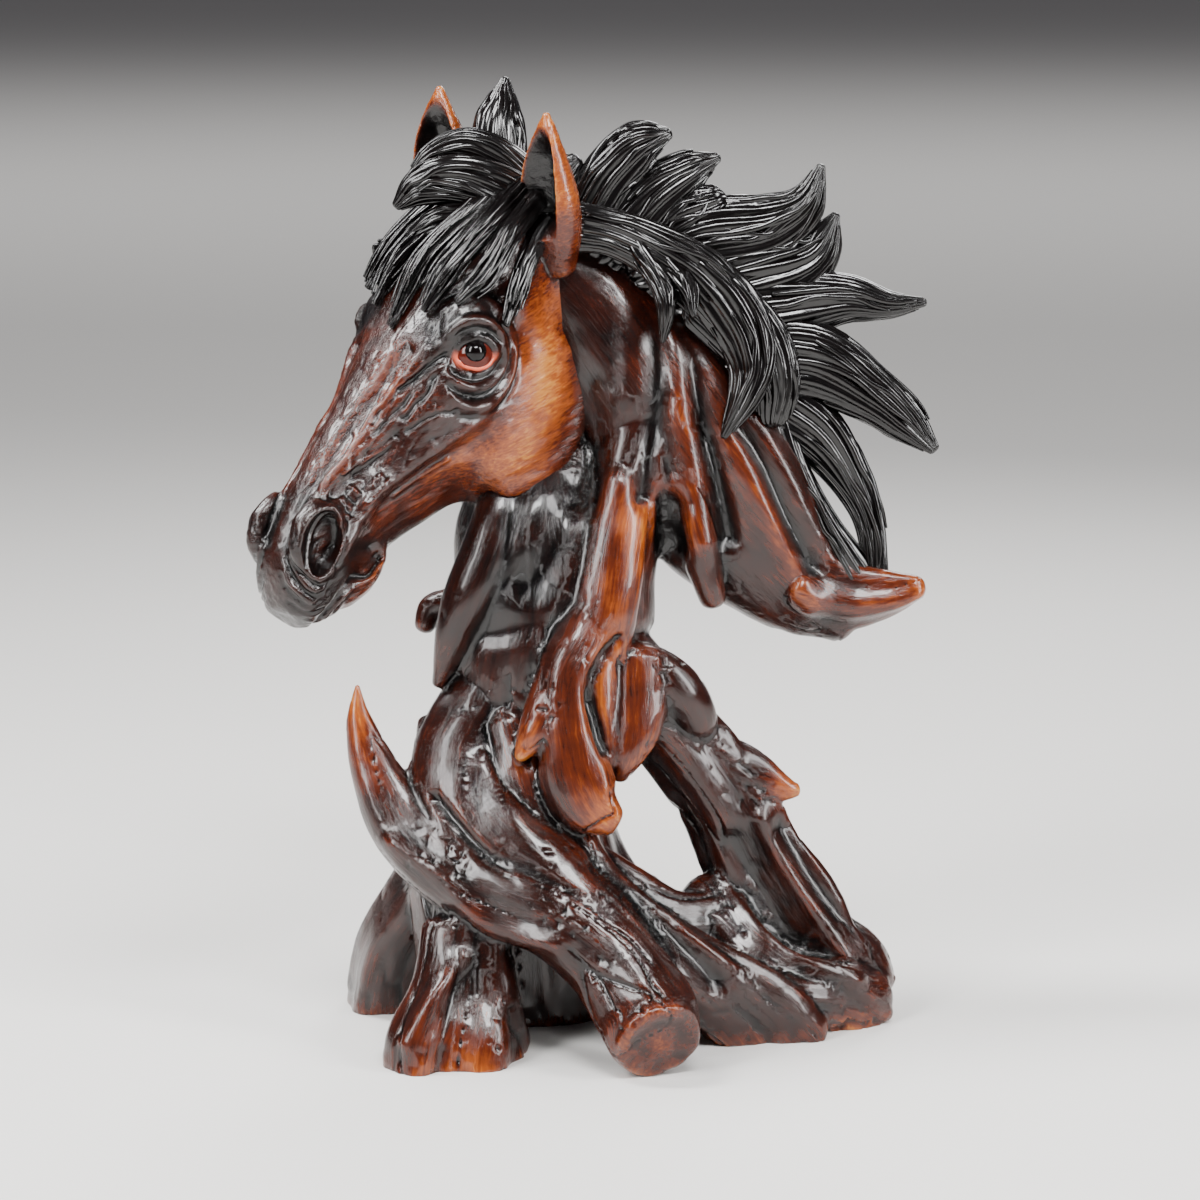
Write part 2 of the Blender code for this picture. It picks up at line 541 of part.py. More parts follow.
LOCKS = {
    "L1": ((-6, 0, 262, 8, 7), (2, 2, 278, 8.5, 7), (12, 3, 289, 7, 6), (22, 3, 293, 2, 2)),
    "L2": ((4, 2, 256, 10, 8), (17, 5, 272, 9, 7), (29, 7, 281, 6, 5), (38, 8, 285, 1.8, 1.8)),
    "L3": (
        (13, 4, 248, 12, 9), (34, 7, 258, 13, 9), (54, 9, 262, 11, 7), (67, 9, 270, 6, 4.5),
        (72, 9, 282, 1.5, 1.5),
    ),
    "L3b": ((27, 6, 240, 14, 9), (50, 9, 246, 14, 9), (69, 11, 253, 9, 6), (77, 11, 266, 1.6, 1.6)),
    "L4": (
        (34, 6, 232, 13, 9), (59, 9, 236, 12, 9), (80, 9, 239, 7.5, 5.5), (94, 8, 237, 4, 3.5),
        (106, 8, 238, 1.5, 1.5),
    ),
    "L5": (
        (42, 4, 217, 13, 9), (68, 5, 219, 13, 10), (88, 3, 209, 9, 7), (101, 1, 199, 6, 5.5),
        (109, -1, 191, 2.2, 2.2),
    ),
    "L6": (
        (50, 4, 207, 12, 9), (70, 5, 196, 10, 8), (82, 5, 181, 6.5, 6), (89, 3, 166, 4.5, 5),
        (91, 1, 149, 4, 4),
    ),
    "L7": ((52, 2, 200, 11, 8), (62, 1, 182, 7, 7), (72, 0, 165, 6, 7), (82, 0, 148, 8, 7)),
    "L12": ((0, 3, 254, 11, 8), (13, 5, 267, 9, 7), (21, 6, 276, 6, 5), (25, 6, 282, 2.5, 2.5)),
    "L23": ((14, 5, 252, 12, 8), (28, 7, 264, 11, 8), (38, 8, 270, 7, 6)),
    "S1": (
        (30, -8, 250, 8, 8), (40, -9, 240, 10, 8), (47, -10, 229, 9, 8), (49, -12, 218, 6.5, 6.5),
        (46, -15, 208, 4, 4.5),
        (40, -17, 197, 1.2, 1.5),
    ),
    "S2": (
        (12, -12, 258, 4, 5), (19, -16, 248, 3.5, 4.5), (21.5, -19, 239, 2.6, 3.5),
        (20, -20, 228, 0.9, 1.4),
    ),
    "S0": ((20, -11, 254, 4, 5), (27, -15, 246, 3.5, 4.5), (30, -19, 236, 0.9, 1.5)),
    "S3": ((36, -4, 240, 12, 9), (50, -5, 226, 11, 9), (56, -6, 213, 8, 7), (56, -7, 202, 5, 5)),
    "crest": (
        (-10, -7, 264, 8, 7), (4, -9, 262, 7, 7), (18, -10, 256, 8, 7), (32, -9, 247, 10, 7),
        (42, -8, 236, 9, 7),
    ),
    "far_side_1": (
        (12, 14, 250, 9, 6), (34, 20, 238, 10, 6), (50, 22, 218, 7, 5), (56, 22, 200, 1.5, 1.5),
    ),
    "far_side_2": (
        (-4, 14, 262, 9, 6), (12, 22, 248, 9, 6), (24, 26, 228, 7, 5), (26, 26, 208, 1.5, 1.5),
    ),
    "far_side_3": (
        (30, 14, 240, 9, 6), (50, 20, 226, 9, 6), (68, 20, 206, 6, 5), (78, 17, 190, 1.5, 1.5),
    ),
    "spike_top": (
        (-32, 4, 276, 9, 8), (-33, 8, 294, 8, 6), (-32, 11, 303, 4.5, 4), (-31, 12, 310, 1.5, 1.5),
    ),
    "poll_tuft": ((-22, 4, 262, 14, 12), (-16, 4, 276, 10, 9), (-8, 4, 284, 3, 3)),
    "curl": (
        (-20, 0, 266, 10, 9), (-34, -6, 275, 9, 8), (-47, -10, 279, 7.5, 7),
        (-58, -11, 277, 5.5, 5.5), (-65, -12, 271, 1.8, 2),
    ),
    "curl_top": (
        (-20, 3, 270, 9, 8), (-33, 0, 283, 8, 6), (-44, -3, 288, 6.5, 5), (-54, -6, 285.5, 4, 4),
        (-60, -8, 281, 1.5, 1.5),
    ),
    "curl_low": (
        (-26, -4, 260, 9, 8), (-40, -10, 266, 7, 6.5), (-52, -12, 266, 4.5, 4.5),
        (-61, -12, 261, 1.5, 1.8),
    ),
}

# Forelock strands lie on the brow: noseward, sideward, browward, half width, thickness.
FORELOCK = (
    ((-6, 0, 18, 8, 6), (14, -4, 23, 8, 5), (34, -10, 24, 6, 4), (52, -10, 22, 1.5, 2)),
    ((-6, 6, 18, 8, 6), (14, 6, 23, 7, 5), (36, 3, 25, 5, 4), (60, 4, 21, 1.2, 2)),
    ((-4, 12, 16, 7, 6), (16, 14, 21, 7, 5), (36, 14, 23, 5, 4), (52, 13, 21, 1.2, 2)),
    ((-2, 17, 12, 7, 6), (16, 21, 16, 6, 5), (32, 23, 16, 4, 4), (46, 22, 18, 1.2, 2)),
    ((2, 19, 5, 7, 6), (16, 23, 6, 6, 5), (28, 25, 4, 4, 4), (40, 27, 1, 1.5, 2)),
    ((-6, -6, 17, 8, 6), (12, -14, 22, 8, 5), (30, -20, 22, 5, 4), (44, -23, 19, 1.5, 2)),
    ((-4, -14, 14, 7, 6), (10, -22, 16, 6, 5), (24, -26, 16, 4, 4), (30, -29, 22, 1.5, 2)),
)


def build(voxel=VOXEL):
    clay = Clay()
    for name, rows in FORM.items():
        ridges, depth, twist = GRAIN.get(name, (0, 0, 0))
        loft(clay, rows, ridges=ridges, depth=depth, twist=twist, sides=36, flat_end=name == "horn_root")
    head_block(clay)
    points, normals, faces = fuse(clay, voxel, 2.6)
    points = sculpt(points, normals)
    clay = Clay()
    clay.add(points, faces.tolist())
    eyes(clay)
    for rows in LOCKS.values():
        loft(clay, rows, ridges=6, depth=0.1, sides=40)
    for rows in FORELOCK:
        turned = [(*from_head(row[:3]), *row[3:]) for row in rows]
        loft(clay, turned, facing=BROWWARD, ridges=6, depth=0.1, sides=40)
    for rows, back in zip(EARS, EAR_BACKS):
        loft(clay, rows, facing=back)
    points, normals, faces = fuse(clay, voxel, 0.9)
    return ear_hollows(points), normals, faces


def largest_shell(bm):
    """Drops every loose shell but the one with the most points."""
    waiting = set(bm.verts)
    shells = []
    while waiting:
        front = [waiting.pop()]
        shell = list(front)
        while front:
            vert = front.pop()
            for edge in vert.link_edges:
                other = edge.other_vert(vert)
                if other in waiting:
                    waiting.remove(other)
                    front.append(other)
                    shell.append(other)
        shells.append(shell)
    shells.sort(key=len)
    bmesh.ops.delete(bm, geom=[v for shell in shells[:-1] for v in shell], context="VERTS")


def casting(voxel=VOXEL, most=MOST_TRIANGLES):
    """The finished casting in metres: thinned to few triangles and cut flat underneath."""
    points, _, faces = build(voxel)
    obj = new_object("casting", points * MM, faces.tolist())
    thin = obj.modifiers.new("Thin", "DECIMATE")
    thin.ratio = most / (2 * len(faces))
    thin.use_collapse_triangulate = True
    mesh = applied(obj)
    bm = bmesh.new()
    bm.from_mesh(mesh)
    largest_shell(bm)
    cut = bmesh.ops.bisect_plane(
        bm,
        geom=[*bm.verts, *bm.edges, *bm.faces],
        dist=1e-5,
        plane_co=(0, 0, 0),
        plane_no=(0, 0, -1),
        clear_outer=True,
    )
    rim = [e for e in cut["geom_cut"] if isinstance(e, bmesh.types.BMEdge)]
    bmesh.ops.holes_fill(bm, edges=rim)
    bmesh.ops.triangulate(bm, faces=bm.faces[:])
    corners = np.array([v.co for v in bm.verts])
    middle = (corners.min(axis=0) + corners.max(axis=0)) / 2
    bmesh.ops.translate(bm, vec=(-middle[0], -middle[1], 0), verts=bm.verts)
    bm.to_mesh(mesh)
    bm.free()
    return mesh


if __name__ == "__main__":
    for old in list(bpy.data.objects):
        bpy.data.objects.remove(old)
    collection = bpy.data.collections.new("horse_head")
    bpy.context.scene.collection.children.link(collection)
    resin = bpy.data.materials.new("lacquered_resin")
    resin.use_nodes = True
    shader = resin.node_tree.nodes["Principled BSDF"]
    shader.inputs["Base Color"].default_value = (0.09, 0.022, 0.010, 1)
    shader.inputs["Roughness"].default_value = 0.28
    shader.inputs["Metallic"].default_value = 0.0
    figurine = bpy.data.objects.new("horse_head_figurine", casting())
    figurine.data.materials.clear()
    figurine.data.materials.append(resin)
    collection.objects.link(figurine)
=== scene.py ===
import math

import bmesh
import bpy
import numpy as np
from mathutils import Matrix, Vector
from mathutils.kdtree import KDTree


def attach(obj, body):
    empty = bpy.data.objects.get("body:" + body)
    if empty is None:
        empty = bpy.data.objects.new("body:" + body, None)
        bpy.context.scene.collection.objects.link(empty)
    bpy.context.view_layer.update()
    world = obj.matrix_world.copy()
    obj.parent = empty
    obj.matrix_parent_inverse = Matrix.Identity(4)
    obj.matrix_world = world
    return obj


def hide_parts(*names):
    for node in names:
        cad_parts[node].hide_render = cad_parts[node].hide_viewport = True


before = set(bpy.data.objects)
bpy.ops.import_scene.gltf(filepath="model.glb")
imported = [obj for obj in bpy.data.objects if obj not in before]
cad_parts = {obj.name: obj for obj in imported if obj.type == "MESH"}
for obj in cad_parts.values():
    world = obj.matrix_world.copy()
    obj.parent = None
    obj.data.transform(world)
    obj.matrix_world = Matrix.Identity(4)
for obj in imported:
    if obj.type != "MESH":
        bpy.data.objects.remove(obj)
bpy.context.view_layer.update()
print("nodes in the frame:", list(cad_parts))

# %% [markdown]
# # A cast resin horse head on its driftwood stand
# The real object is one resin casting, stained and lacquered to look like carved root wood.
# A sculptor would block it out in clay: lay limbs over each other, smooth them together and
# cut the detail last. We do the same. Limbs are lofts along named rows, a voxel remesh fuses
# them, and soft strokes and noise carve the skin. Sculpting by hand would look as good but
# could not be repeated by a script, and a subdivision cage would need every join drawn.

# %% Sizes
MM = 0.001
SHIFT = np.array((-0.01, 14.33, 0.0))  # from the sculptor's axes to the middle of the casting
HEAD_VOXEL = 0.6
STAND_VOXEL = 0.8

# The most triangles that each piece keeps.
TRIANGLES = {
    "horse_head": 185000,
    "driftwood_stand": 195000,
    "mane": 198000,
    "forelock": 120000,
    "eyeballs": 20000,
    "irises": 20000,
}
print("voxels in mm:", HEAD_VOXEL, "for the head and", STAND_VOXEL, "for the stand")

# %% Curves, directions and noise


def spline(rows, per_span=8):
    """Points along the Catmull-Rom curve through the rows, whatever a row holds."""
    rows = np.asarray(rows, float)
    padded = np.vstack([2 * rows[0] - rows[1], rows, 2 * rows[-1] - rows[-2]])
    t = np.linspace(0, 1, per_span, endpoint=False)[:, None]
    spans = []
    for p0, p1, p2, p3 in zip(padded, padded[1:], padded[2:], padded[3:]):
        cubic = -p0 + 3 * p1 - 3 * p2 + p3
        square = 2 * p0 - 5 * p1 + 4 * p2 - p3
        spans.append(0.5 * (2 * p1 + (p2 - p0) * t + square * t**2 + cubic * t**3))
    return np.vstack([*spans, rows[-1:]])


def unit(vectors):
    return vectors / np.maximum(np.linalg.norm(vectors, axis=-1, keepdims=True), 1e-9)


def noise(points, seed=0):
    """Smooth value noise between -1 and 1, one bump to each unit of length."""
    cell = np.floor(points).astype(np.int64)
    part = points - cell
    ease = part * part * (3 - 2 * part)
    total = np.zeros(len(points))
    for corner in np.ndindex(2, 2, 2):
        x, y, z = (cell + corner).T
        mixed = (x * 374761393 + y * 668265263 + z * 1440662683 + seed * 974634777) & 0xFFFFFFFF
        mixed = ((mixed ^ (mixed >> 13)) * 1274126177) & 0xFFFFFFFF
        value = ((mixed ^ (mixed >> 16)) & 0xFFFF) / 65535
        total += value * np.prod(np.where(corner, ease, 1 - ease), axis=1)
    return 2 * total - 1


# %% [markdown]
# ## Clay
# A limb is a tube along a spline, with its own width and thickness at each row. Ridges may
# run along it, which is what gives roots their sinews and locks of hair their strands.
# Every limb also remembers its own axes, so that wood grain can follow it later.

# %% Clay, tubes and limbs


class Clay:
    """Closed shells of points and faces, with the axes of the limbs among them."""

    def __init__(self):
        self.points, self.faces, self.limbs, self.strands = [], [], [], []
        self.count = 0

    def add(self, points, faces, strands=None):
        self.faces.extend([tuple(self.count + i for i in face) for face in faces])
        self.points.append(np.asarray(points, float))
        self.strands.append(np.zeros((len(points), 3)) if strands is None else strands)
        self.count += len(points)


def tube_faces(rings, sides):
    """Quads between successive rings, and a cap on each end ring."""
    faces = []
    for ring in range(0, (rings - 1) * sides, sides):
        for side in range(sides):
            after = (side + 1) % sides
            faces.append((ring + side, ring + after, ring + sides + after, ring + sides + side))
    last = (rings - 1) * sides
    return [*faces, tuple(range(sides))[::-1], tuple(last + s for s in range(sides))]


def limb_axes(rows, facing, per_span):
    """A limb's centres, widths, and its along, wide and thin directions."""
    path = spline(rows, per_span)
    centres, widths = path[:, :3], np.maximum(path[:, 3:5], 0.35)
    along = unit(np.gradient(centres, axis=0))
    facing = np.asarray(facing, float)
    thin = unit(facing - (along @ facing)[:, None] * along)
    return centres, widths, along, np.cross(along, thin), thin


def loft(clay, rows, facing=(0, -1, 0), ridges=0, depth=0.0, twist=0.0, sides=20, per_span=8,
         flat_end=False, cusped=False):
    """A limb with ridges along it, as deep as that share of its radius; cusped makes the
    valleys between them sharp."""
    centres, widths, along, wide, thin = limb_axes(rows, facing, per_span)
    clay.limbs.append((centres, widths, along, wide, thin))
    domes = []
    for end, sense, rounded in ((0, -1, True), (-1, 1, not flat_end)):
        turn = np.radians((30, 55, 75) if rounded else ())[:, None]
        reach = 0.7 * widths[end].min() * sense * np.sin(turn)
        domes.append(np.hstack([centres[end] + along[end] * reach, widths[end] * np.cos(turn)]))
    before, after = len(domes[0]), len(domes[1])
    centres = np.vstack([domes[0][::-1, :3], centres, domes[1][:, :3]])
    widths = np.vstack([domes[0][::-1, 3:], widths, domes[1][:, 3:]])
    wide = np.vstack([*[wide[:1]] * before, wide, *[wide[-1:]] * after])
    thin = np.vstack([*[thin[:1]] * before, thin, *[thin[-1:]] * after])
    turn = np.linspace(0, 2 * math.pi, sides, endpoint=False)
    share = np.linspace(0, 1, len(centres))[:, None]
    wave = ridges * (turn + twist * share)
    lobes = 2 * np.abs(np.cos(wave / 2)) - 1.3 if cusped else np.cos(wave)
    reach = (1 + depth * lobes)[..., None]
    rings = (
        centres[:, None]
        + wide[:, None] * (np.cos(turn)[:, None] * widths[:, None, :1]) * reach
        + thin[:, None] * (np.sin(turn)[:, None] * widths[:, None, 1:]) * reach
    )
    length = np.cumsum(np.linalg.norm(np.diff(centres, axis=0, prepend=centres[:1]), axis=1))
    girth = widths.mean()
    strands = np.empty(rings.shape)
    strands[..., 0] = girth * np.cos(turn + twist * share) + 40 * len(clay.limbs)
    strands[..., 1] = girth * np.sin(turn + twist * share)
    strands[..., 2] = length[:, None]
    clay.add(rings.reshape(-1, 3), tube_faces(len(rings), sides), strands.reshape(-1, 3))


def ball(clay, centre, radii, axes=np.eye(3), around=24):
    """An ellipsoid with its radii along the rows of axes. Its faces are sorted, because the
    sphere gives them in another order each time."""
    bm = bmesh.new()
    bmesh.ops.create_uvsphere(bm, u_segments=around, v_segments=2 * around // 3, radius=1)
    points = np.array([v.co for v in bm.verts]) * radii @ axes + centre
    faces = sorted([v.index for v in f.verts] for f in bm.faces)
    bm.free()
    clay.add(points, faces)


# %% Meshes and objects


def mesh_from(name, points, faces):
    """A mesh from points and faces; an array of faces, all alike, is filled in at once."""
    mesh = bpy.data.meshes.new(name)
    if isinstance(faces, np.ndarray):
        mesh.vertices.add(len(points))
        mesh.vertices.foreach_set("co", np.ascontiguousarray(points, np.float32).ravel())
        mesh.loops.add(faces.size)
        mesh.loops.foreach_set("vertex_index", faces.astype(np.int32).ravel())
        mesh.polygons.add(len(faces))
        starts = np.arange(0, faces.size, faces.shape[1], dtype=np.int32)
        mesh.polygons.foreach_set("loop_start", starts)
        mesh.update(calc_edges=True)
    else:
        mesh.from_pydata(points.tolist(), [], faces)
    return mesh


def shown(name, mesh):
    obj = bpy.data.objects.new(name, mesh)
    bpy.context.scene.collection.objects.link(obj)
    return obj


def applied(obj):
    """The object's mesh with its modifiers applied; the object itself is removed."""
    graph = bpy.context.evaluated_depsgraph_get()
    mesh = bpy.data.meshes.new_from_object(obj.evaluated_get(graph))
    bpy.data.objects.remove(obj)
    return mesh


def mesh_points(mesh):
    points = np.empty(3 * len(mesh.vertices), np.float32)
    mesh.vertices.foreach_get("co", points)
    normals = np.empty(3 * len(mesh.vertices), np.float32)
    mesh.vertex_normals.foreach_get("vector", normals)
    return points.reshape(-1, 3).astype(float), normals.reshape(-1, 3).astype(float)


# %% [markdown]
# ## One skin
# Clay limbs are pressed together until the joins disappear. A voxel remesh does that here:
# it wraps one skin round everything, and smoothing rounds the joins. Booleans would keep
# every seam sharp, and often fail where many limbs cross.

# %% Fusing the clay


def fuse(clay, voxel, blend):
    """One skin over all the clay, smoothed so that joins round off to about blend mm."""
    obj = shown("clay", mesh_from("clay", np.vstack(clay.points), clay.faces))
    remesh = obj.modifiers.new("Fuse", "REMESH")
    remesh.mode = "VOXEL"
    remesh.voxel_size = voxel
    smooth = obj.modifiers.new("Blend", "SMOOTH")
    smooth.factor = 0.5
    smooth.iterations = max(1, round((blend / voxel) ** 2))
    mesh = applied(obj)
    points, normals = mesh_points(mesh)
    faces = np.empty(len(mesh.loops), np.int32)
    mesh.loops.foreach_get("vertex_index", faces)
    return points, normals, faces.reshape(-1, 4)


def normals_of(points, faces):
    """Fresh normals after the skin has been moved."""
    across = points[faces[:, 2]] - points[faces[:, 0]]
    face_normals = np.cross(across, points[faces[:, 3]] - points[faces[:, 1]])
    total = np.zeros_like(points)
    for corner in faces.T:
        for axis in range(3):
            total[:, axis] += np.bincount(corner, face_normals[:, axis], len(points))
    return unit(total)


# %% [markdown]
# ## Carving
# A stroke raises or presses the skin beside a path, as a thumb or a loop tool would. The
# same weight paints stain and painted shade later, so `beside` is shared. Only the points near a
# path are worked on, which keeps them quick however many there are.

# %% Strokes


def beside(points, path, radius):
    """Weights from 1 on the path down to 0 away from it."""
    line = spline(path, 4) if len(path) > 1 else np.array([path[0], path[0]], float)
    weights = np.zeros(len(points))
    reach = 2.4 * radius
    close = np.all((points > line.min(axis=0) - reach) & (points < line.max(axis=0) + reach), axis=1)
    some = points[close]
    gap = np.full(len(some), np.inf)
    for start, stop in zip(line, line[1:]):
        run = stop - start
        share = np.clip((some - start) @ run / max(run @ run, 1e-9), 0, 1)
        gap = np.minimum(gap, np.sum((some - start - share[:, None] * run) ** 2, axis=1))
    weights[close] = np.exp(-gap / radius**2)
    return weights


def carve(points, normals, strokes, squeeze=(1, 1, 1)):
    """All the strokes at once: each is a path, a radius and a rise."""
    squeeze = np.array(squeeze)
    rise = np.zeros(len(points))
    for path, radius, height in strokes:
        rise += height * beside(points * squeeze, np.array(path) * squeeze, radius)
    return points + normals * rise[:, None]


def hollowness(points, faces, rounds):
    """How far each point lies below the skin around it, in millimetres."""
    normals = normals_of(points, faces)
    here = faces.ravel()
    there = np.roll(faces, -1, axis=1).ravel()
    count = np.bincount(here, minlength=len(points))[:, None]
    soft = points
    for _ in range(rounds):
        near = np.column_stack([np.bincount(here, soft[there, i], len(points)) for i in range(3)])
        soft = near / count
    return np.sum((soft - points) * normals, axis=1)


def grain_of(points, limbs):
    """Each point's place across and along the limb that it belongs to, in millimetres."""
    turn = np.linspace(0, 2 * math.pi, 12, endpoint=False)
    surfaces = []
    for centres, widths, along, wide, thin in limbs:
        ring = centres[:, None] + wide[:, None] * (np.cos(turn)[:, None] * widths[:, None, :1])
        ring = ring + thin[:, None] * (np.sin(turn)[:, None] * widths[:, None, 1:])
        surfaces.append(ring.reshape(-1, 3))
    tree = KDTree(sum(len(s) for s in surfaces))
    for number, surface in enumerate(surfaces):
        for point in surface:
            tree.insert(point, number)
    tree.balance()
    owner = np.array([tree.find(p)[1] for p in points])
    grain = np.zeros_like(points)
    for number, (centres, widths, along, wide, thin) in enumerate(limbs):
        mine = np.flatnonzero(owner == number)
        if not len(mine):
            continue
        gaps = np.sum((points[mine, None] - centres[None]) ** 2, axis=2)
        ring = gaps.argmin(axis=1)
        offset = points[mine] - centres[ring]
        length = np.cumsum(np.linalg.norm(np.diff(centres, axis=0, prepend=centres[:1]), axis=1))
        grain[mine, 0] = np.sum(offset * wide[ring], axis=1) + 37 * number
        grain[mine, 1] = np.sum(offset * thin[ring], axis=1)
        grain[mine, 2] = np.sum(offset * along[ring], axis=1) + length[ring]
    return grain


# %% Finishing a piece


def drop_crumbs(bm):
    """Keeps the largest connected body, without the crumbs that are left loose beside it."""
    bodies = []
    waiting = set(bm.verts)
    while waiting:
        body = set()
        front = [waiting.pop()]
        while front:
            here = front.pop()
            body.add(here)
            reached = {e.other_vert(here) for e in here.link_edges} & waiting
            waiting -= reached
            front.extend(reached)
        bodies.append(body)
    bodies.sort(key=len)
    crumbs = [v for body in bodies[:-1] for v in body]
    bmesh.ops.delete(bm, geom=crumbs, context="VERTS")
    print(f"crumbs removed: {len(bodies) - 1}")


def cut_at_ground(mesh):
    """Cuts off what is below the ground, closes the cut and drops loose crumbs."""
    bm = bmesh.new()
    bm.from_mesh(mesh)
    everything = [*bm.verts, *bm.edges, *bm.faces]
    cut = bmesh.ops.bisect_plane(
        bm, geom=everything, dist=1e-6, plane_co=(0, 0, 0), plane_no=(0, 0, -1), clear_outer=True
    )
    rim = [e for e in cut["geom_cut"] if isinstance(e, bmesh.types.BMEdge)]
    bmesh.ops.holes_fill(bm, edges=rim)
    drop_crumbs(bm)
    bm.to_mesh(mesh)
    bm.free()


def finished(name, points, faces, marks, on_ground=False):
    """A shown piece in metres, thinned to its triangles, with its marks as attributes."""
    mesh = mesh_from(name, (points + SHIFT) * MM, faces)
    for mark, values in marks.items():
        kind = "FLOAT_VECTOR" if values.ndim == 2 else "FLOAT"
        data = mesh.attributes.new(mark, kind, "POINT").data
        field = "vector" if values.ndim == 2 else "value"
        data.foreach_set(field, np.ascontiguousarray(values, np.float32).ravel())
    obj = shown(name, mesh)
    triangles = sum(len(p.vertices) - 2 for p in mesh.polygons)
    if triangles > TRIANGLES[name]:
        thin = obj.modifiers.new("Thin", "DECIMATE")
        thin.ratio = TRIANGLES[name] / triangles
        thin.use_collapse_triangulate = True
        obj = shown(name, applied(obj))
    mesh = obj.data
    if on_ground:
        cut_at_ground(mesh)
    mesh.shade_smooth()
    obj.name = name
    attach(obj, "root")
    size = [round(1000 * v) for v in obj.dimensions]
    print(f"{name}: {len(mesh.vertices)} points, {len(mesh.polygons)} faces, {size} mm")
    return obj


# %% [markdown]
# ## The head
# The head has its own axes: noseward down the face, sideward across it, and browward out of
# the forehead. A horse's head is easiest to judge from its profile, so each station says how
# high the brow line, cheekbone, jaw and underside are. The face is the same on both sides,
# so every stroke is written once and mirrored.

# %% The head's axes
HEADING = math.radians(43)
NOD = math.radians(46)
POLL = np.array((-27.0, 7.0, 262.5))
NOSEWARD = np.array(
    (-math.cos(HEADING) * math.cos(NOD), -math.sin(HEADING) * math.cos(NOD), -math.sin(NOD))
)
SIDEWARD = np.array((math.sin(HEADING), -math.cos(HEADING), 0))
BROWWARD = np.cross(NOSEWARD, SIDEWARD)
HEAD_AXES = np.array((NOSEWARD, SIDEWARD, BROWWARD))


def in_head(points):
    """World points as distances noseward, sideward and browward of the poll."""
    return (np.asarray(points, float) - POLL) @ HEAD_AXES.T


def from_head(points):
    return np.asarray(points, float) @ HEAD_AXES + POLL


print("the nose points", NOSEWARD.round(2), "and the brow", BROWWARD.round(2))

# %% The head's block
# Noseward, then the brow line's height and half width, the cheekbone's height and half
# width, the jaw's, and the underside's height.
HEAD_STATIONS = (
    (-10, 10, 10, 0, 14, -16, 12, -24),
    (2, 16, 13, 2, 19, -20, 15, -36),
    (20, 20, 16, 6, 23, -31, 17.5, -47),
    (40, 21.5, 17, 6, 25.5, -38, 20.5, -57),
    (56, 20.5, 16, 4, 26, -41, 21, -61),
    (66, 19.5, 14.5, 3, 25, -40, 20.5, -58),
    (75, 18.5, 12.5, 2, 22.5, -34, 18, -50),
    (84, 17.5, 11.5, 0, 20, -23, 13, -39),
    (100, 16, 10, -1, 16, -16, 10.5, -31.5),
    (113, 14.5, 9, -1, 14.5, -13.5, 10, -27),
    (123, 13, 9, 0, 16, -13, 11, -27),
    (133, 10.5, 8.5, -1, 16.5, -13, 12, -25),
    (142, 6, 8, -4, 15, -13, 11, -22.5),
    (149, -1, 6.5, -7, 12, -14, 9, -20),
    (152.5, -6, 4, -9, 7, -13, 5.5, -16.5),
)


def head_section(brow, brow_half, cheek, cheek_half, jaw, jaw_half, under, around=8):
    """A closed section across the head, symmetric about its middle."""
    half = [
        (0, brow),
        (brow_half, brow - 0.2 * (brow - cheek)),
        (cheek_half, cheek),
        (0.94 * max(cheek_half, jaw_half), 0.5 * (cheek + jaw)),
        (jaw_half, jaw),
        (0.45 * jaw_half, under + 0.12 * (jaw - under)),
    ]
    other = [(-b, c) for b, c in half[:0:-1]]
    ring = np.array([*half, (0, under), *other])
    looped = np.vstack([ring[-1:], ring, ring[:2]])
    return spline(looped, around)[around : -around - 1]


# Balls of clay on each side of the block: the middle and the radii, in the head's axes.
CHEEK_BALL = ((48, 14.5, -29), (31, 11.5, 28))
NOSTRIL_BALL = ((129, 10.5, 4), (13, 6.5, 9.5))
SOCKET_BALL = ((48, 19, 8), (12, 8, 9))
CHIN_BALL = ((124, 0, -21.5), (16.5, 9.5, 8.5))


def head_block(clay):
    """Sections lofted along the head, with balls for the forms that stand out."""
    stations = spline(HEAD_STATIONS, 5)
    rings = [[(row[0], b, c) for b, c in head_section(*row[1:])] for row in stations]
    clay.add(from_head(np.vstack(rings)), tube_faces(len(rings), len(rings[0])))
    for side in (-1, 1):
        for centre, radii in (CHEEK_BALL, NOSTRIL_BALL, SOCKET_BALL):
            ball(clay, from_head(np.multiply(centre, (1, side, 1))), radii, HEAD_AXES)
    ball(clay, from_head(CHIN_BALL[0]), CHIN_BALL[1], HEAD_AXES)


# %% [markdown]
# ## The face
# The broad strokes set the planes of the face: brow, cheekbone, jaw, nostril and mouth. The
# fine strokes are what brings it alive: creases round the eye, veins, nostril folds and
# wrinkles at the lips. The eyeball is a ball of its own, with lids laid over it.

# %% The eye
EYE = np.array((53.3, 21.5, 2.1))
EYE_OUT = unit(np.array((1, 4, 1.8)))
EYE_LONG = unit(np.array((-0.6, 0.45, -0.67)))
EYE_UP = unit(np.cross(EYE_OUT, EYE_LONG))
EYEBALL = 7.0


def round_eye(long, up, out, start=0, stop=math.pi, count=7):
    """Points of an arc about the eye, in head coordinates, bulging out at its middle."""
    turns = np.linspace(start, stop, count)
    return [
        tuple(
            EYE
            + EYE_LONG * long * math.cos(turn)
            + EYE_UP * up * math.sin(turn)
            + EYE_OUT * (out[0] + (out[1] - out[0]) * abs(math.sin(turn)))
        )
        for turn in turns
    ]


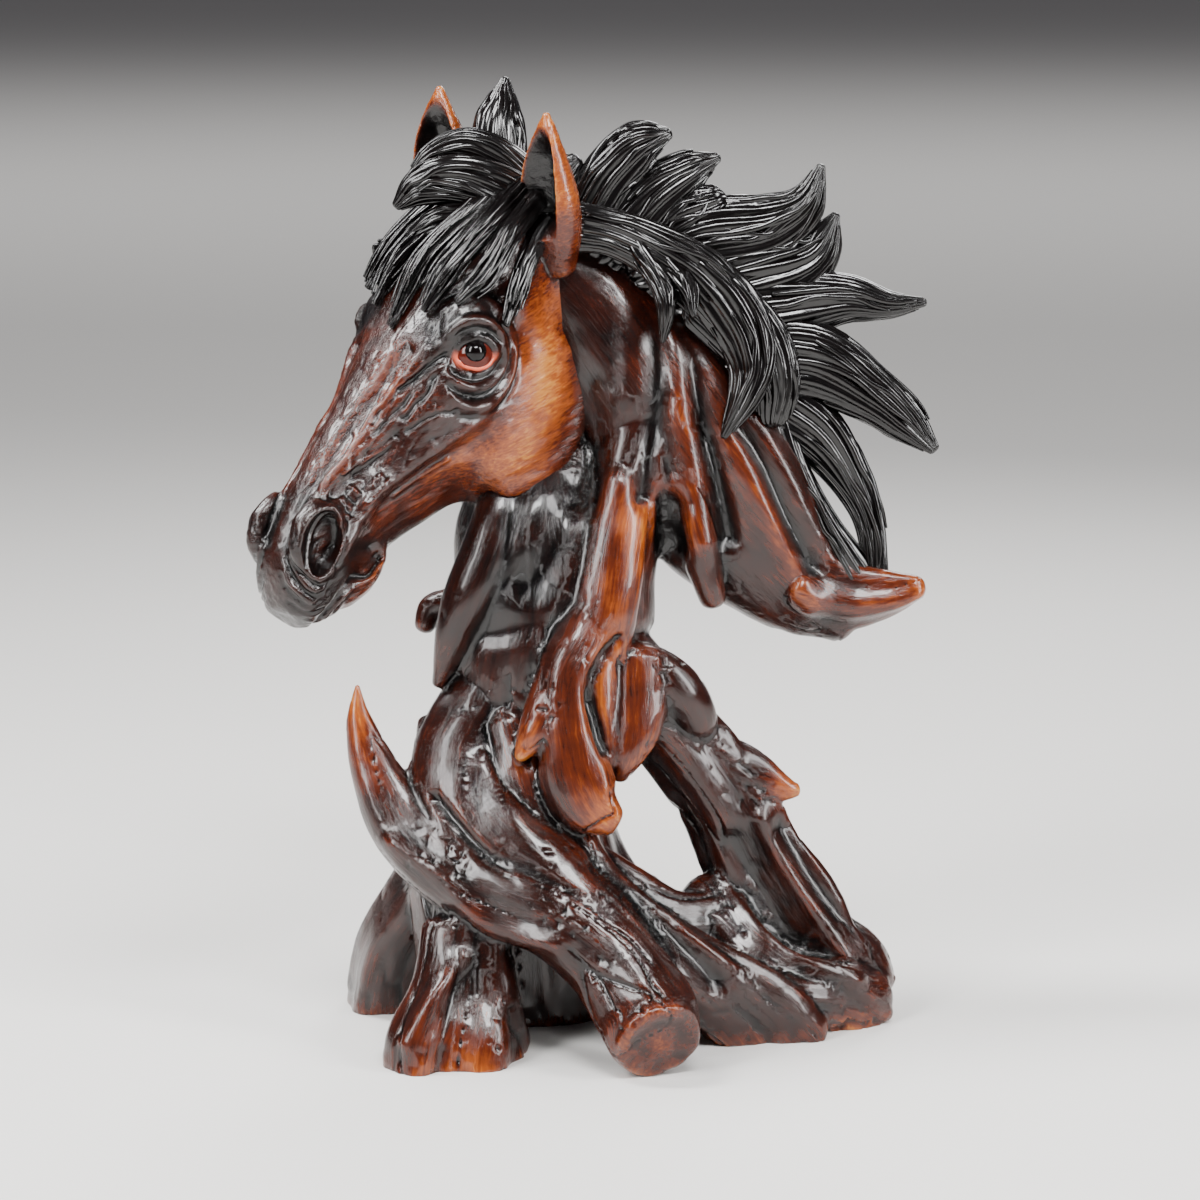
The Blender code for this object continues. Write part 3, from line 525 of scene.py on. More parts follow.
# %% The nostril
# An oval opening, its long and wide directions, and the way it runs inward. The size is half
# its length, half its width and its depth.
NOSTRIL = np.array((132, 14, 3))
NOSTRIL_LONG = unit(np.array((0.86, 0.2, -0.46)))
NOSTRIL_WIDE = unit(np.array((-0.3, 0.75, -0.58)))
NOSTRIL_IN = unit(np.array((-0.6, -0.65, -0.35)))
NOSTRIL_SIZE = (10.5, 5.6, 8.0)


def nostril_ring(grow, count=13):
    """Points round the nostril, as far outside its edge as grow says."""
    turns = np.linspace(0, 2 * math.pi, count)
    long, wide = NOSTRIL_SIZE[0] + grow, NOSTRIL_SIZE[1] + grow
    return [
        NOSTRIL + NOSTRIL_LONG * long * math.cos(turn) + NOSTRIL_WIDE * wide * math.sin(turn)
        for turn in turns
    ]


def nostril_press(folded):
    """How far points in head coordinates move, to open the nostril."""
    offset = folded - NOSTRIL
    long, wide, deep = NOSTRIL_SIZE
    away = np.hypot(offset @ NOSTRIL_LONG / long, offset @ NOSTRIL_WIDE / wide)
    off_plane = np.abs(offset @ np.cross(NOSTRIL_LONG, NOSTRIL_WIDE))
    share = np.clip(1 - away**3.5, 0, 1) * np.clip(2.2 - off_plane / 5, 0, 1)
    return deep * share[:, None] * NOSTRIL_IN


# %% Broad strokes on the face
# The slit between the lips, from its corner round to the middle of the muzzle.
MOUTH = (
    (118, 9.5, -22), (125, 11, -20), (131, 12, -18), (137, 12, -17), (142, 10.5, -17),
    (146, 7, -17.5), (149, 0, -18),
)

FACE_STROKES = (
    (round_eye(9, 10, (2, 5), 0.1, 2.9), 3.6, 2.6),
    (round_eye(10, -9, (2, 4), 0.3, 2.8), 2.6, 1.2),
    (((33, 24, 6), (38, 26, -4), (36, 26, -12)), 5, -1.6),
    (((24, 20, 14), (32, 23, 9)), 6, -2.0),
    (((57, 26, 5),), 6.5, -4.0),
    (((64, 24, -13), (75, 22, -11), (88, 19, -7), (101, 16, -3.5), (112, 15, -1)), 3, 1.6),
    (((70, 23, -20), (82, 18, -16), (96, 14, -12), (108, 13, -9)), 4, -2.0),
    (((82, 17, -41), (80, 19, -31), (75, 22, -22)), 4, -1.6),
    (((61, 22, 8), (68, 20, 10), (76, 16, 11), (88, 13, 11)), 2.6, -1.2),
    (((65, 13, 18), (88, 9, 16), (113, 7, 14), (130, 5, 10.5), (137, 5, 7)), 2.6, -1.6),
    (((63, 17, 15), (86, 12.5, 11), (103, 10, 10), (122, 9, 12), (131, 10, 12)), 3, 1.2),
    (((90, 16, 4), (101, 13, 5), (113, 11, 8), (120, 11, 9.5)), 2.6, -1.4),
    (nostril_ring(1.4), 1.9, 1.2),
    (MOUTH, 2.0, -3.4),
    (((118, 10, -17.5), (122, 13, -12.5), (126.5, 15.5, -8.5)), 2.4, -1.8),
    (((147, 5, -12), (139, 13, -12), (130, 15, -13)), 3.0, 1.2),
    (((141, 6, -22), (134, 11, -22), (126, 11, -23)), 3.0, 1.2),
    (((104, 15, -1.5), (116, 15, -2.5), (123, 17, -3.5), (128, 18, -4.5)), 2.6, 1.2),
    (((112, 0, -30), (113, 8, -27)), 4, -0.6),
    (((4, 18, -20), (13, 22, -41), (30, 22, -60), (56, 17, -69), (76, 12, -60)), 5, -6.5),
    (((14, 24, -22), (24, 25, -38), (42, 23, -50), (60, 20, -51), (73, 18, -44)), 5, 2.4),
    (((100, 14, -20), (112, 12, -20)), 3.5, -1.4),
)
print("broad strokes on each side of the face:", len(FACE_STROKES))

# %% Folds round the eye
TEAR_CORNER = EYE - 8.5 * EYE_LONG
NOSTRIL_WING = NOSTRIL - 11 * NOSTRIL_LONG

# Folds that ring the eye: how far above (+) or below (-) it, how wide, how high, and where
# the fold begins and ends, as angles from the back corner towards the tear corner.
EYE_FOLDS = (
    (7.6, 1.0, -0.8, 0.2, 2.9), (10.5, 1.5, 0.8, 0.0, 3.0), (13.5, 1.1, -0.9, 0.2, 2.8),
    (17.0, 1.7, 0.9, 0.3, 2.7), (20.5, 1.2, -0.8, 0.4, 2.5),
    (-8.0, 1.0, -1.2, -0.2, 2.9), (-10.8, 1.3, 1.1, -0.3, 2.7), (-13.8, 1.1, -1.3, -0.4, 2.5),
    (-17.0, 1.7, 1.2, -0.5, 2.2), (-20.5, 1.2, -0.8, -0.3, 2.0),
)


def fold_rise(folded):
    """How far the folds raise the skin: flattened rings that fade out at both ends."""
    offset = folded - EYE
    long, up, out = offset @ EYE_LONG, offset @ EYE_UP, offset @ EYE_OUT
    rise = np.zeros(len(folded))
    for distance, radius, height, start, stop in EYE_FOLDS:
        span = abs(distance)
        ring = np.hypot(up, long * span / (5.5 + 0.55 * span)) - span
        turn = np.arctan2(np.sign(distance) * up, long)
        fade = np.clip((turn - start) / 0.4, 0, 1) * np.clip((stop - turn) / 0.5, 0, 1)
        rise += height * np.exp(-((ring / radius) ** 2)) * fade
    return rise * (np.abs(out) < 14) * (np.hypot(long, up) < 30)


# %% Fine strokes on the face
# Creases and veins between the eye and the nostril: where each starts and ends as a share of
# that way, how far it lies browward at its two ends, its radius and its height.
LANES = (
    (0.02, 0.30, 2, 4, 1.0, -1.1), (0.05, 0.26, -2, 0, 1.2, 0.7), (0.25, 0.50, 5, 7, 0.8, -0.6),
    (0.22, 0.55, 0, 2, 0.8, -0.8), (0.15, 0.40, -5, -2, 0.9, -0.9), (0.12, 0.42, -11, -5, 0.8, -0.7),
    (0.50, 0.80, -5, 1, 0.9, 0.7), (0.40, 0.62, -18, -16, 1.0, 0.9), (0.36, 0.68, -25, -19, 1.1, 0.8),
    (0.70, 0.92, -10, -12, 0.9, 0.7),
)


def cheek_lines():
    """Creases and veins, each swaying a little so that no two run quite alike."""
    for number, (start, stop, near, far, radius, height) in enumerate(LANES):
        share = np.linspace(start, stop, 6)[:, None]
        lane = near + (far - near) * np.linspace(0, 1, 6)[:, None]
        sway = 0.5 * np.sin(6 * share + 1.7 * number)
        path = TEAR_CORNER + (NOSTRIL_WING - TEAR_CORNER) * share
        yield path + (lane + sway) * (0, 0, 1), radius, height


def nose_wrinkles(count=4, pitch=3.0):
    """Short wrinkles over the nostril, with one groove among the ridges."""
    for number in range(count):
        top = NOSTRIL + (pitch * number - 21, -2, 2)
        yield (top, top + (0.6, 1.8, -3)), 0.7, -0.8 if number == 1 else 0.9


def lip_lines():
    """The slit between the lips, the ridge under it, and creases round the upper lip."""
    yield MOUTH, 1.0, -2.1
    yield np.array(MOUTH[:-1]) - (0, 0, 2.2), 0.9, 1.0
    for back, radius, height in ((0.0, 0.9, -0.6), (4.0, 1.1, 0.5)):
        tip = NOSTRIL + (17 - back, -8, -8 + back)
        yield (tip, tip + (0, 4, -4), tip + (-3, 6, -8)), radius, height


def lip_folds():
    """Folds that wrap under the nostril, each wider and shallower than the last."""
    for number in range(4):
        ring = nostril_ring(5.0 + 2.4 * number, 33)
        under = [*ring[-8 + number : -1], *ring[: 6 - number]]
        yield under, 0.9 + 0.1 * number, (0.9 if number % 2 == 0 else -0.9) * (1 - 0.15 * number)


FINE_FACE = (
    *cheek_lines(),
    *lip_folds(),
    *nose_wrinkles(),
    *lip_lines(),
    (nostril_ring(0.6), 0.8, 0.8),
    (nostril_ring(3.2), 0.9, -0.7),
)
print("fine strokes on each side of the face:", len(FINE_FACE), "and folds:", len(EYE_FOLDS))

# %% [markdown]
# ## Ears
# Each ear is a leaf with a hollow pressed into its front, which leaves a thin rim. A lofted
# C section would be truer to an ear, but so thin that the remesh would lose its edges.

# %% Ears
EARS = (
    (
        (-13, -9, 252, 6, 6), (-14.5, -12, 262, 10, 8), (-16, -15, 273, 11.5, 8.5),
        (-17, -18, 284, 9, 6.5), (-17, -20, 293, 5, 4), (-17, -21, 300, 1.4, 1.4),
    ),
    (
        (-42, 17, 258, 7, 7), (-47, 17, 270, 11, 8), (-51, 18, 284, 11.5, 7.5),
        (-52.5, 18, 295, 7.5, 5), (-52.5, 18, 307, 1.4, 1.4),
    ),
)
EAR_BACKS = (np.array((0.8, 0.6, 0.05)), np.array((0.5, 0.86, 0.1)))
EAR_HOLLOW = 1.5  # how deep the hollow is, as a share of the leaf's half thickness


def ear_depths(points):
    """How deep each point is pressed, as vectors into the ears."""
    moved = np.zeros_like(points)
    for rows, back in zip(EARS, EAR_BACKS):
        path = spline(rows, 6)
        x, y, wide, thick = (np.interp(points[:, 2], path[:, 2], path[:, i]) for i in (0, 1, 3, 4))
        across = np.cross((0, 0, 1), back)
        from_middle = points[:, :2] - np.column_stack([x, y])
        share = 1 - (from_middle @ across[:2] / (0.84 * wide)) ** 2
        low, high = rows[1][2] - 2, rows[-1][2] - 3
        end = np.clip((points[:, 2] - low) / 8, 0, 1) * np.clip((high - points[:, 2]) / 10, 0, 1)
        front = -from_middle @ back[:2]
        in_front = (front > -0.2 * thick) * (front < 1.4 * thick)
        deep = EAR_HOLLOW * thick * np.clip(share, 0, 1) * end * in_front
        moved += deep[:, None] * back
    return moved


print("heights of the ears in mm:", [rows[-1][2] - rows[0][2] for rows in EARS])


# %% [markdown]
# ## Sculpt the head
# The block is fused and gets its broad strokes. Lids and ears are added as clay, all is fused
# again with a smaller blend, and then come the folds, the fine strokes and a hint of hair.

# %% Strokes for both sides


def mirrored(points):
    """Points in head axes, folded over to the side that strokes are written for."""
    local = in_head(points)
    return np.column_stack([local[:, 0], np.abs(local[:, 1]), local[:, 2]])


def laid(skin, path):
    """A path moved onto the skin, each of its points to the nearest skin point."""
    return [skin[np.sum((skin - point) ** 2, axis=1).argmin()] for point in np.array(path)]


def carve_face(points, faces, strokes, on_skin=False):
    """Carves strokes, written for one side, on both sides of the face."""
    folded = mirrored(points)
    rise = np.zeros(len(points))
    for path, radius, height in strokes:
        rise += height * beside(folded, laid(folded, path) if on_skin else path, radius)
    return points + normals_of(points, faces) * rise[:, None]


# %% The steps of the head
# Upper and lower lid: half length, height, how far the middle bulges out, and thickness.
LIDS = ((6.6, 5.3, 5.2, 2.0), (6.2, -4.8, 4.8, 0.8))
LID_CORNERS = 2.4  # how far both ends of the lids stand out
HEAD_BLEND, LID_BLEND = 2.4, 0.7


def add_lids(clay):
    for side in (1, -1):
        turned = np.array((1, side, 1))
        for long, up, out, thick in LIDS:
            arc = round_eye(long, up, (LID_CORNERS, out))
            rows = [(*from_head(np.array(point) * turned), thick, thick) for point in arc]
            loft(clay, rows, facing=SIDEWARD, per_span=6, sides=12)


def turned_down(local, down, out):
    """Head coordinates with a new third axis down the face and a first axis out of it."""
    return np.column_stack([local @ out, local[:, 1], local @ down])


def skin_roughness(points, hairs):
    """Short hair on all of the head and wrinkles between the eye and the nostril."""
    local = in_head(points)
    hair = 0.16 * noise(hairs * (1 / 1.3, 1 / 1.3, 1 / 9), 3)
    swell = 0.25 * noise(local / 7, 5)
    down_face = turned_down(local, (0.98, 0, -0.2), (0.2, 0, 0.98))
    wrinkles = (1 - np.abs(noise(down_face / (2.6, 2.6, 11), 7))) ** 5
    cheek = (TEAR_CORNER, (TEAR_CORNER + NOSTRIL_WING) / 2, NOSTRIL_WING)
    return hair + swell - 0.5 * wrinkles * beside(mirrored(points), cheek, 13)


def sculpt_head():
    """The head's points and faces, its hair directions and how deep the ears are pressed."""
    clay = Clay()
    head_block(clay)
    points, _, faces = fuse(clay, HEAD_VOXEL, HEAD_BLEND)
    points = carve_face(points, faces, FACE_STROKES)
    press = nostril_press(mirrored(points))
    press[:, 1] *= np.sign(in_head(points)[:, 1])
    points = points + press @ HEAD_AXES
    clay = Clay()
    clay.add(points, faces.tolist())
    add_lids(clay)
    for rows, back in zip(EARS, EAR_BACKS):
        loft(clay, rows, facing=back, sides=32)
    points, _, faces = fuse(clay, HEAD_VOXEL, LID_BLEND)
    depths = ear_depths(points)
    points = points + depths
    points = points + normals_of(points, faces) * fold_rise(mirrored(points))[:, None]
    points = carve_face(points, faces, FINE_FACE, on_skin=True)
    hairs = turned_down(in_head(points), (0.889, 0, 0.457), (-0.457, 0, 0.889))
    points = points + normals_of(points, faces) * skin_roughness(points, hairs)[:, None]
    return points, faces, hairs, np.linalg.norm(depths, axis=1)


# %% [markdown]
# ## Neck, trunk and roots
# The neck turns to wood at the throat: a trunk with a torn tongue of bark, a horn-shaped root
# on the left, a window on the right and roots that splay out to the ground. Each is a limb
# with ridges that twist along it, as a root's sinews do.

# %% The limbs of the stand
FORM = {
    "neck": (
        (-17, 8, 252, 14, 15), (-1, 6, 232, 21, 16), (19, 3, 204, 28, 17),
        (41, 1, 173, 29, 17), (64, 2, 147, 19, 12), (80, 2, 133, 8, 7),
    ),
    "throat": (
        (-18, 13, 240, 17, 14), (-19, 13, 215, 20, 14), (-20, 9, 190, 24, 16), (-18, 0, 168, 28, 20),
        (-14, -5, 148, 28, 22),
    ),
    "trunk": (
        (-18, 4, 190, 18, 10), (-18, -3, 168, 29, 21), (-18, -6, 148, 30, 23), (-21, -6, 121, 31, 24),
        (-26, -5, 94, 26, 25), (-28, -5, 70, 24, 26), (-27, -4, 52, 25, 28),
    ),
    "fold": (
        (-31, -8, 184, 7, 6), (-33, -16, 172, 8, 7), (-37, -20, 158, 9, 8), (-42.5, -22, 145, 8.5, 8),
        (-48, -21, 131, 6, 6.5), (-53, -19, 116, 2.5, 3),
    ),
    "saddle": ((18, 0, 204, 16, 13), (12, -4, 180, 16, 14), (2, -6, 156, 17, 16), (0, -8, 136, 18, 17)),
    "tendon": (
        (15, -2, 196, 6, 6), (9, -11, 182, 9, 7), (5, -18, 167, 10.5, 8), (2.5, -23, 150, 11, 8),
        (0.5, -25, 138, 11, 8), (0, -25, 126, 8, 6),
    ),
    "tongue": (
        (0, -22, 146, 9, 6), (-5, -28, 134, 9.5, 7.5), (-10.5, -33, 124, 9, 8),
        (-11.5, -36, 112, 8.5, 8), (-10, -39, 100, 10, 8), (-7.5, -42, 89.5, 12, 7.5),
        (-3, -44, 81, 10.5, 6.5), (3.5, -45, 76, 6, 4),
    ),
    "lobe": (
        (-14, -33, 120, 7, 6), (-17.5, -36, 110.5, 7, 6.5), (-21.5, -38, 102.5, 5.5, 6),
        (-25.5, -39.5, 96, 2.4, 3.4),
    ),
    "shoulder": ((2, -12, 126, 14, 13), (15, -14, 113, 13, 13), (25, -12, 107, 11, 11)),
    "flap": (
        (10, -20, 124, 13, 8), (10, -25, 112, 12, 7), (9.5, -29, 102, 10, 6), (8, -31, 94, 6.5, 5),
        (6.5, -31, 88, 3, 3),
    ),
    "seam": ((-1, -23, 130, 8, 8), (-1, -27, 114, 8, 8), (0, -30, 102, 7, 7), (1, -32, 93, 5, 6)),
    "hood": (
        (4, -14, 123, 7, 8), (15, -18, 120, 9, 8), (24, -18, 114, 9, 8), (30, -15, 105, 8, 8),
        (32, -12, 98, 6, 6),
    ),
    "pocket": ((2, -8, 124, 14, 12), (8, -12, 108, 12, 11), (9, -14, 96, 8, 8), (9, -15, 90, 5, 5)),
    "horn_root": (
        (-79, -22, 116, 1.5, 1.5), (-78, -23, 104, 4.5, 4), (-72, -27, 86, 8.5, 6.5),
        (-62, -33, 70, 12, 8), (-42, -42, 56, 14, 10), (-18, -50, 48, 14, 12),
        (2, -57, 35, 15.5, 13), (13, -65, 22, 16.5, 14), (17, -72, 15, 16, 14), (19, -78, 12.5, 14, 13),
    ),
    "sheet": (
        (-36, -12, 112, 14, 14), (-44, -21, 92, 18, 14), (-40, -32, 72, 20, 14), (-20, -42, 56, 18, 14),
        (0, -50, 42, 16, 14), (12, -58, 28, 14, 13),
    ),
    "ridge_root": (
        (-30, -20, 102, 13, 12), (-22, -29, 80, 14, 12), (-8, -37, 58, 12, 11), (8, -42, 44, 11, 11),
        (26, -40, 28, 12, 12), (42, -34, 12, 14, 11), (50, -30, 2, 13, 10),
    ),
    "mid_root": (
        (-16, -4, 76, 17, 18), (-5, -8, 50, 15, 18), (11, -14, 34, 13, 17), (30, -15, 25, 14, 17),
        (48, -13, 17, 16, 16), (68, -11, 9, 16, 14),
    ),
    "sill": (
        (-8, -34, 60, 9, 9), (7, -30, 50, 9, 9), (22, -24, 41, 8, 9), (34, -17, 38, 8, 9),
        (46, -9, 38, 8, 8),
    ),
    "mid_fork": (
        (-2, -38, 50, 8, 8), (17, -38, 37, 9, 9), (36, -36, 24, 10, 9), (55, -32, 12, 11, 9),
        (66, -29, 0, 11, 9),
    ),
    "right_fork": (
        (34, -12, 44, 9, 8), (44, -20, 32, 10, 8), (60, -24, 20, 10, 9), (79, -18, 10, 10, 9),
        (89, -10, 2, 9, 9),
    ),
    "right_leg": (
        (15, -11, 107, 12, 13), (29, -9, 92, 14, 12), (42, -8, 73, 15, 11), (51, -7, 54, 17, 10),
        (62, -5, 37, 19, 12), (72, -4, 20, 19, 13), (77, -3, 6, 20, 13),
    ),
    "right_end": ((70, -3, 28, 13, 12), (86, -1, 19, 10, 11), (92, 0, 11, 8, 10)),
    "spike": (
        (34, -8, 90, 10, 8), (50, -9, 83, 9, 5.5), (60, -10, 79.5, 5, 3.5),
        (65, -10, 78.5, 2.5, 2),
    ),
    "left_foot": (
        (-48, -16, 62, 12, 12), (-59, -10, 42, 12, 12), (-69, -3, 24, 12, 12), (-73, 4, 8, 12, 12),
        (-74, 8, -4, 12, 12),
    ),
    "front_foot": (
        (-40, -34, 58, 13, 10), (-41, -43, 38, 13, 10), (-43, -49, 21, 14, 10),
        (-45, -55, 6, 19, 13), (-46, -57, -4, 20, 13),
    ),
    "front_toe": (
        (-50, -46, 40, 7, 7), (-53, -54, 24, 7, 8), (-58, -62, 8, 10, 9), (-59, -64, -3, 10, 9),
    ),
    "inner_toe": ((-36, -46, 34, 7, 7), (-33, -50, 18, 8, 7), (-30, -44, 2, 8, 8)),
    "apron": ((34, -30, 16, 12, 12), (54, -27, 12, 13, 12), (74, -17, 10, 13, 12), (88, -7, 8, 11, 12)),
    "web_left": ((-54, -18, 66, 10, 12), (-48, -24, 44, 14, 16), (-46, -26, 20, 14, 18)),
    "core": ((-28, 2, 76, 20, 22), (-27, 4, 44, 28, 24), (-25, 6, 14, 33, 26), (-24, 6, 0, 32, 26)),
    "knob": ((-44, 5, 139, 5, 6), (-55, 6, 137, 4.5, 4.5), (-58, 5, 131, 3.5, 3.5)),
    "left_stub": ((-46, -10, 94, 8, 8), (-55, -13, 97, 5.5, 6), (-57, -13, 102, 3.5, 4)),
    "back_root": (
        (-24, 4, 104, 14, 8), (-22, 14, 78, 17, 13), (-18, 25, 48, 16, 14), (-10, 35, 22, 17, 14),
        (-4, 42, 2, 20, 14),
    ),
    "back_toe": ((10, 14, 34, 12, 12), (34, 26, 12, 11, 9), (50, 34, 1, 10, 8)),
    "stub": ((66, 0, 146, 12, 11), (80, -1, 142, 11, 9), (94, -2, 143, 8, 7), (104, -3, 145, 4.5, 4.5)),
    "stub_mid": (
        (22, -4, 192, 9, 8), (27, -10, 176, 8, 8), (31, -13, 162, 7, 6.5),
        (35, -14, 150, 5.5, 5.5), (37, -14, 143, 4.5, 4.5),
    ),
}

print("limbs of the stand:", len(FORM))

# %% Ridges and strokes
# Ridges along the roots: how many, how deep, and how far they twist.
GRAIN = {
    "tongue": (5, 0.05, 0.3),
    "right_leg": (4, 0.12, 0.9),
    "horn_root": (5, 0.025, 0.8),
    "mid_root": (5, 0.09, 0.9),
    "ridge_root": (4, 0.08, 0.7),
    "mid_fork": (4, 0.12, 0.8),
    "right_fork": (4, 0.12, 0.8),
    "left_foot": (4, 0.12, 0.6),
    "front_foot": (5, 0.1, 0.4),
    "front_toe": (3, 0.12, 0.5),
    "back_root": (5, 0.1, 0.7),
    "back_toe": (4, 0.1, 0.6),
    "stub": (4, 0.12, 0.6),
    "sill": (4, 0.08, 0.8),
}

# Raised and pressed strokes on the neck and the stand.
BODY_STROKES = (
    (((-1, -20, 255), (8, -22, 241), (10, -23, 216), (6, -25, 199), (5, -27, 184)), 5.5, 3.0),
    (((6, -20, 257), (16, -22, 239), (19, -22, 216), (16, -24, 193), (15, -24, 178)), 3.5, -4.0),
    (((12, -20, 251), (22, -21, 232), (26, -21, 207), (29, -20, 189), (33, -17, 163)), 5.5, 3.2),
    (((24, -20, 241), (30, -21, 222), (33, -20, 203), (38, -19, 183), (42, -17, 163)), 3.5, -4.2),
    (
        ((31, -18, 231), (38, -19, 214), (45, -19, 195), (53, -17, 175), (63, -15, 155),
         (68, -13, 140)),
        5.5, 3.2,
    ),
    (((43, -17, 202), (53, -16, 188), (61, -14, 170), (69, -12, 154)), 3.5, -4.0),
    (((51, -14, 202), (61, -13, 182), (69, -11, 166), (77, -10, 154)), 5, 2.4),
    (((-4, -22, 214), (-4, -25, 196), (-6, -28, 178)), 4, -3.0),
    (((-8, -20, 182), (-14, -26, 164), (-22, -28, 150)), 7, -3.2),
    (((-36, -27, 134), (-20, -28, 138)), 5, -1.2),
    (((24, -14, 174), (24, -16, 160)), 5, -5.0),
    (((6, -30, 133), (0, -33, 127), (-4.5, -35, 119), (-2, -36, 110), (1, -37, 98)), 2.0, -2.2),
    (((-53, -40, 82), (-42, -44, 71), (-27, -48, 59)), 2.0, -2.2),
    (
        ((30, -84, 13), (25, -84, 22), (15, -84, 23), (8, -84, 14), (13, -84, 4), (24, -84, 3),
         (30, -84, 13)),
        2.2, 1.4,
    ),
    (((-38, -30, 92), (-22, -42, 70), (-2, -50, 52)), 4, 2.0),
    (((0, -52, 64), (13, -54, 52), (26, -52, 38), (38, -46, 24)), 4, -3.5),
    (((-66, -38, 68), (-49, -46, 58), (-34, -54, 43), (-14, -60, 41)), 3.5, 2.5),
    (((53, -18, 70), (64, -18, 50), (76, -18, 32), (84, -16, 18)), 4, 3.0),
    (((45, -18, 62), (55, -20, 42), (66, -20, 24)), 5, -3.0),
    (((60, -16, 66), (72, -14, 46), (84, -12, 32)), 4, -2.0),
    (((-44, -60, 34), (-54, -68, 22), (-62, -74, 10)), 3, 2.5),
)
print("ridged roots:", len(GRAIN), "and strokes:", len(BODY_STROKES))

# %% [markdown]
# ## Sculpt the stand
# The wood is not smooth: sinews and splits follow the grain of each root, pits of lost bark
# lie in patches, and the feet are torn. Noise stretched along the grain gives the first two.
# All of it fades up the neck, where the wood turns into the horse.

# %% The steps of the stand
STAND_BLEND = 2.2
FADE_TOP, FADE_LENGTH = 175, 50  # the wood's relief fades towards this height, over this length
LEAST_WOOD = 0.25  # the share of the relief that is left all the way up the neck
TORN_HEIGHT = 16  # how far up the feet are torn


def sculpt_stand():
    """The stand's points and faces, and its grain."""
    clay = Clay()
    for name, rows in FORM.items():
        ridges, depth, twist = GRAIN.get(name, (0, 0, 0))
        sawn = name == "horn_root"
        loft(clay, rows, ridges=ridges, depth=depth, twist=twist, sides=36, flat_end=sawn)
    points, _, faces = fuse(clay, STAND_VOXEL, STAND_BLEND)
    points = carve(points, normals_of(points, faces), BODY_STROKES, squeeze=(1, 0.35, 1))
    grain = grain_of(points, clay.limbs)
    wood = np.clip((FADE_TOP - points[:, 2]) / FADE_LENGTH, LEAST_WOOD, 1)
    sinews = noise(grain / (8, 8, 90), 1) + 0.35 * noise(grain / (3.2, 3.2, 50), 2)
    splits = 1 - np.abs(noise(grain / (9, 9, 80), 4))
    splits = np.clip((splits - 0.94) / 0.06, 0, 1) ** 2 * np.clip(2 * noise(points / 25, 8), 0, 1)
    pits = np.clip(noise(points / 2.2, 9) - 0.35, 0, 1) * np.clip(2 * noise(points / 16, 10), 0, 1)
    torn = np.clip((TORN_HEIGHT - points[:, 2]) / 12, 0, 1) * noise(points / 3.5, 11)
    skin = 0.14 * noise(points / 5, 6)
    rise = wood * (0.6 * sinews - 1.2 * splits - 1.1 * pits) + skin + 0.45 * torn
    points = points + normals_of(points, faces) * rise[:, None]
    return points, faces, grain


# %% [markdown]
# ## Hair
# The mane is cast as thick locks, each a bundle of strands with sharp valleys between them.
# Loose strands lie over the locks and break up their outlines. Particle hair would be finer,
# but resin hair is a solid, and a solid is what the mould gives.

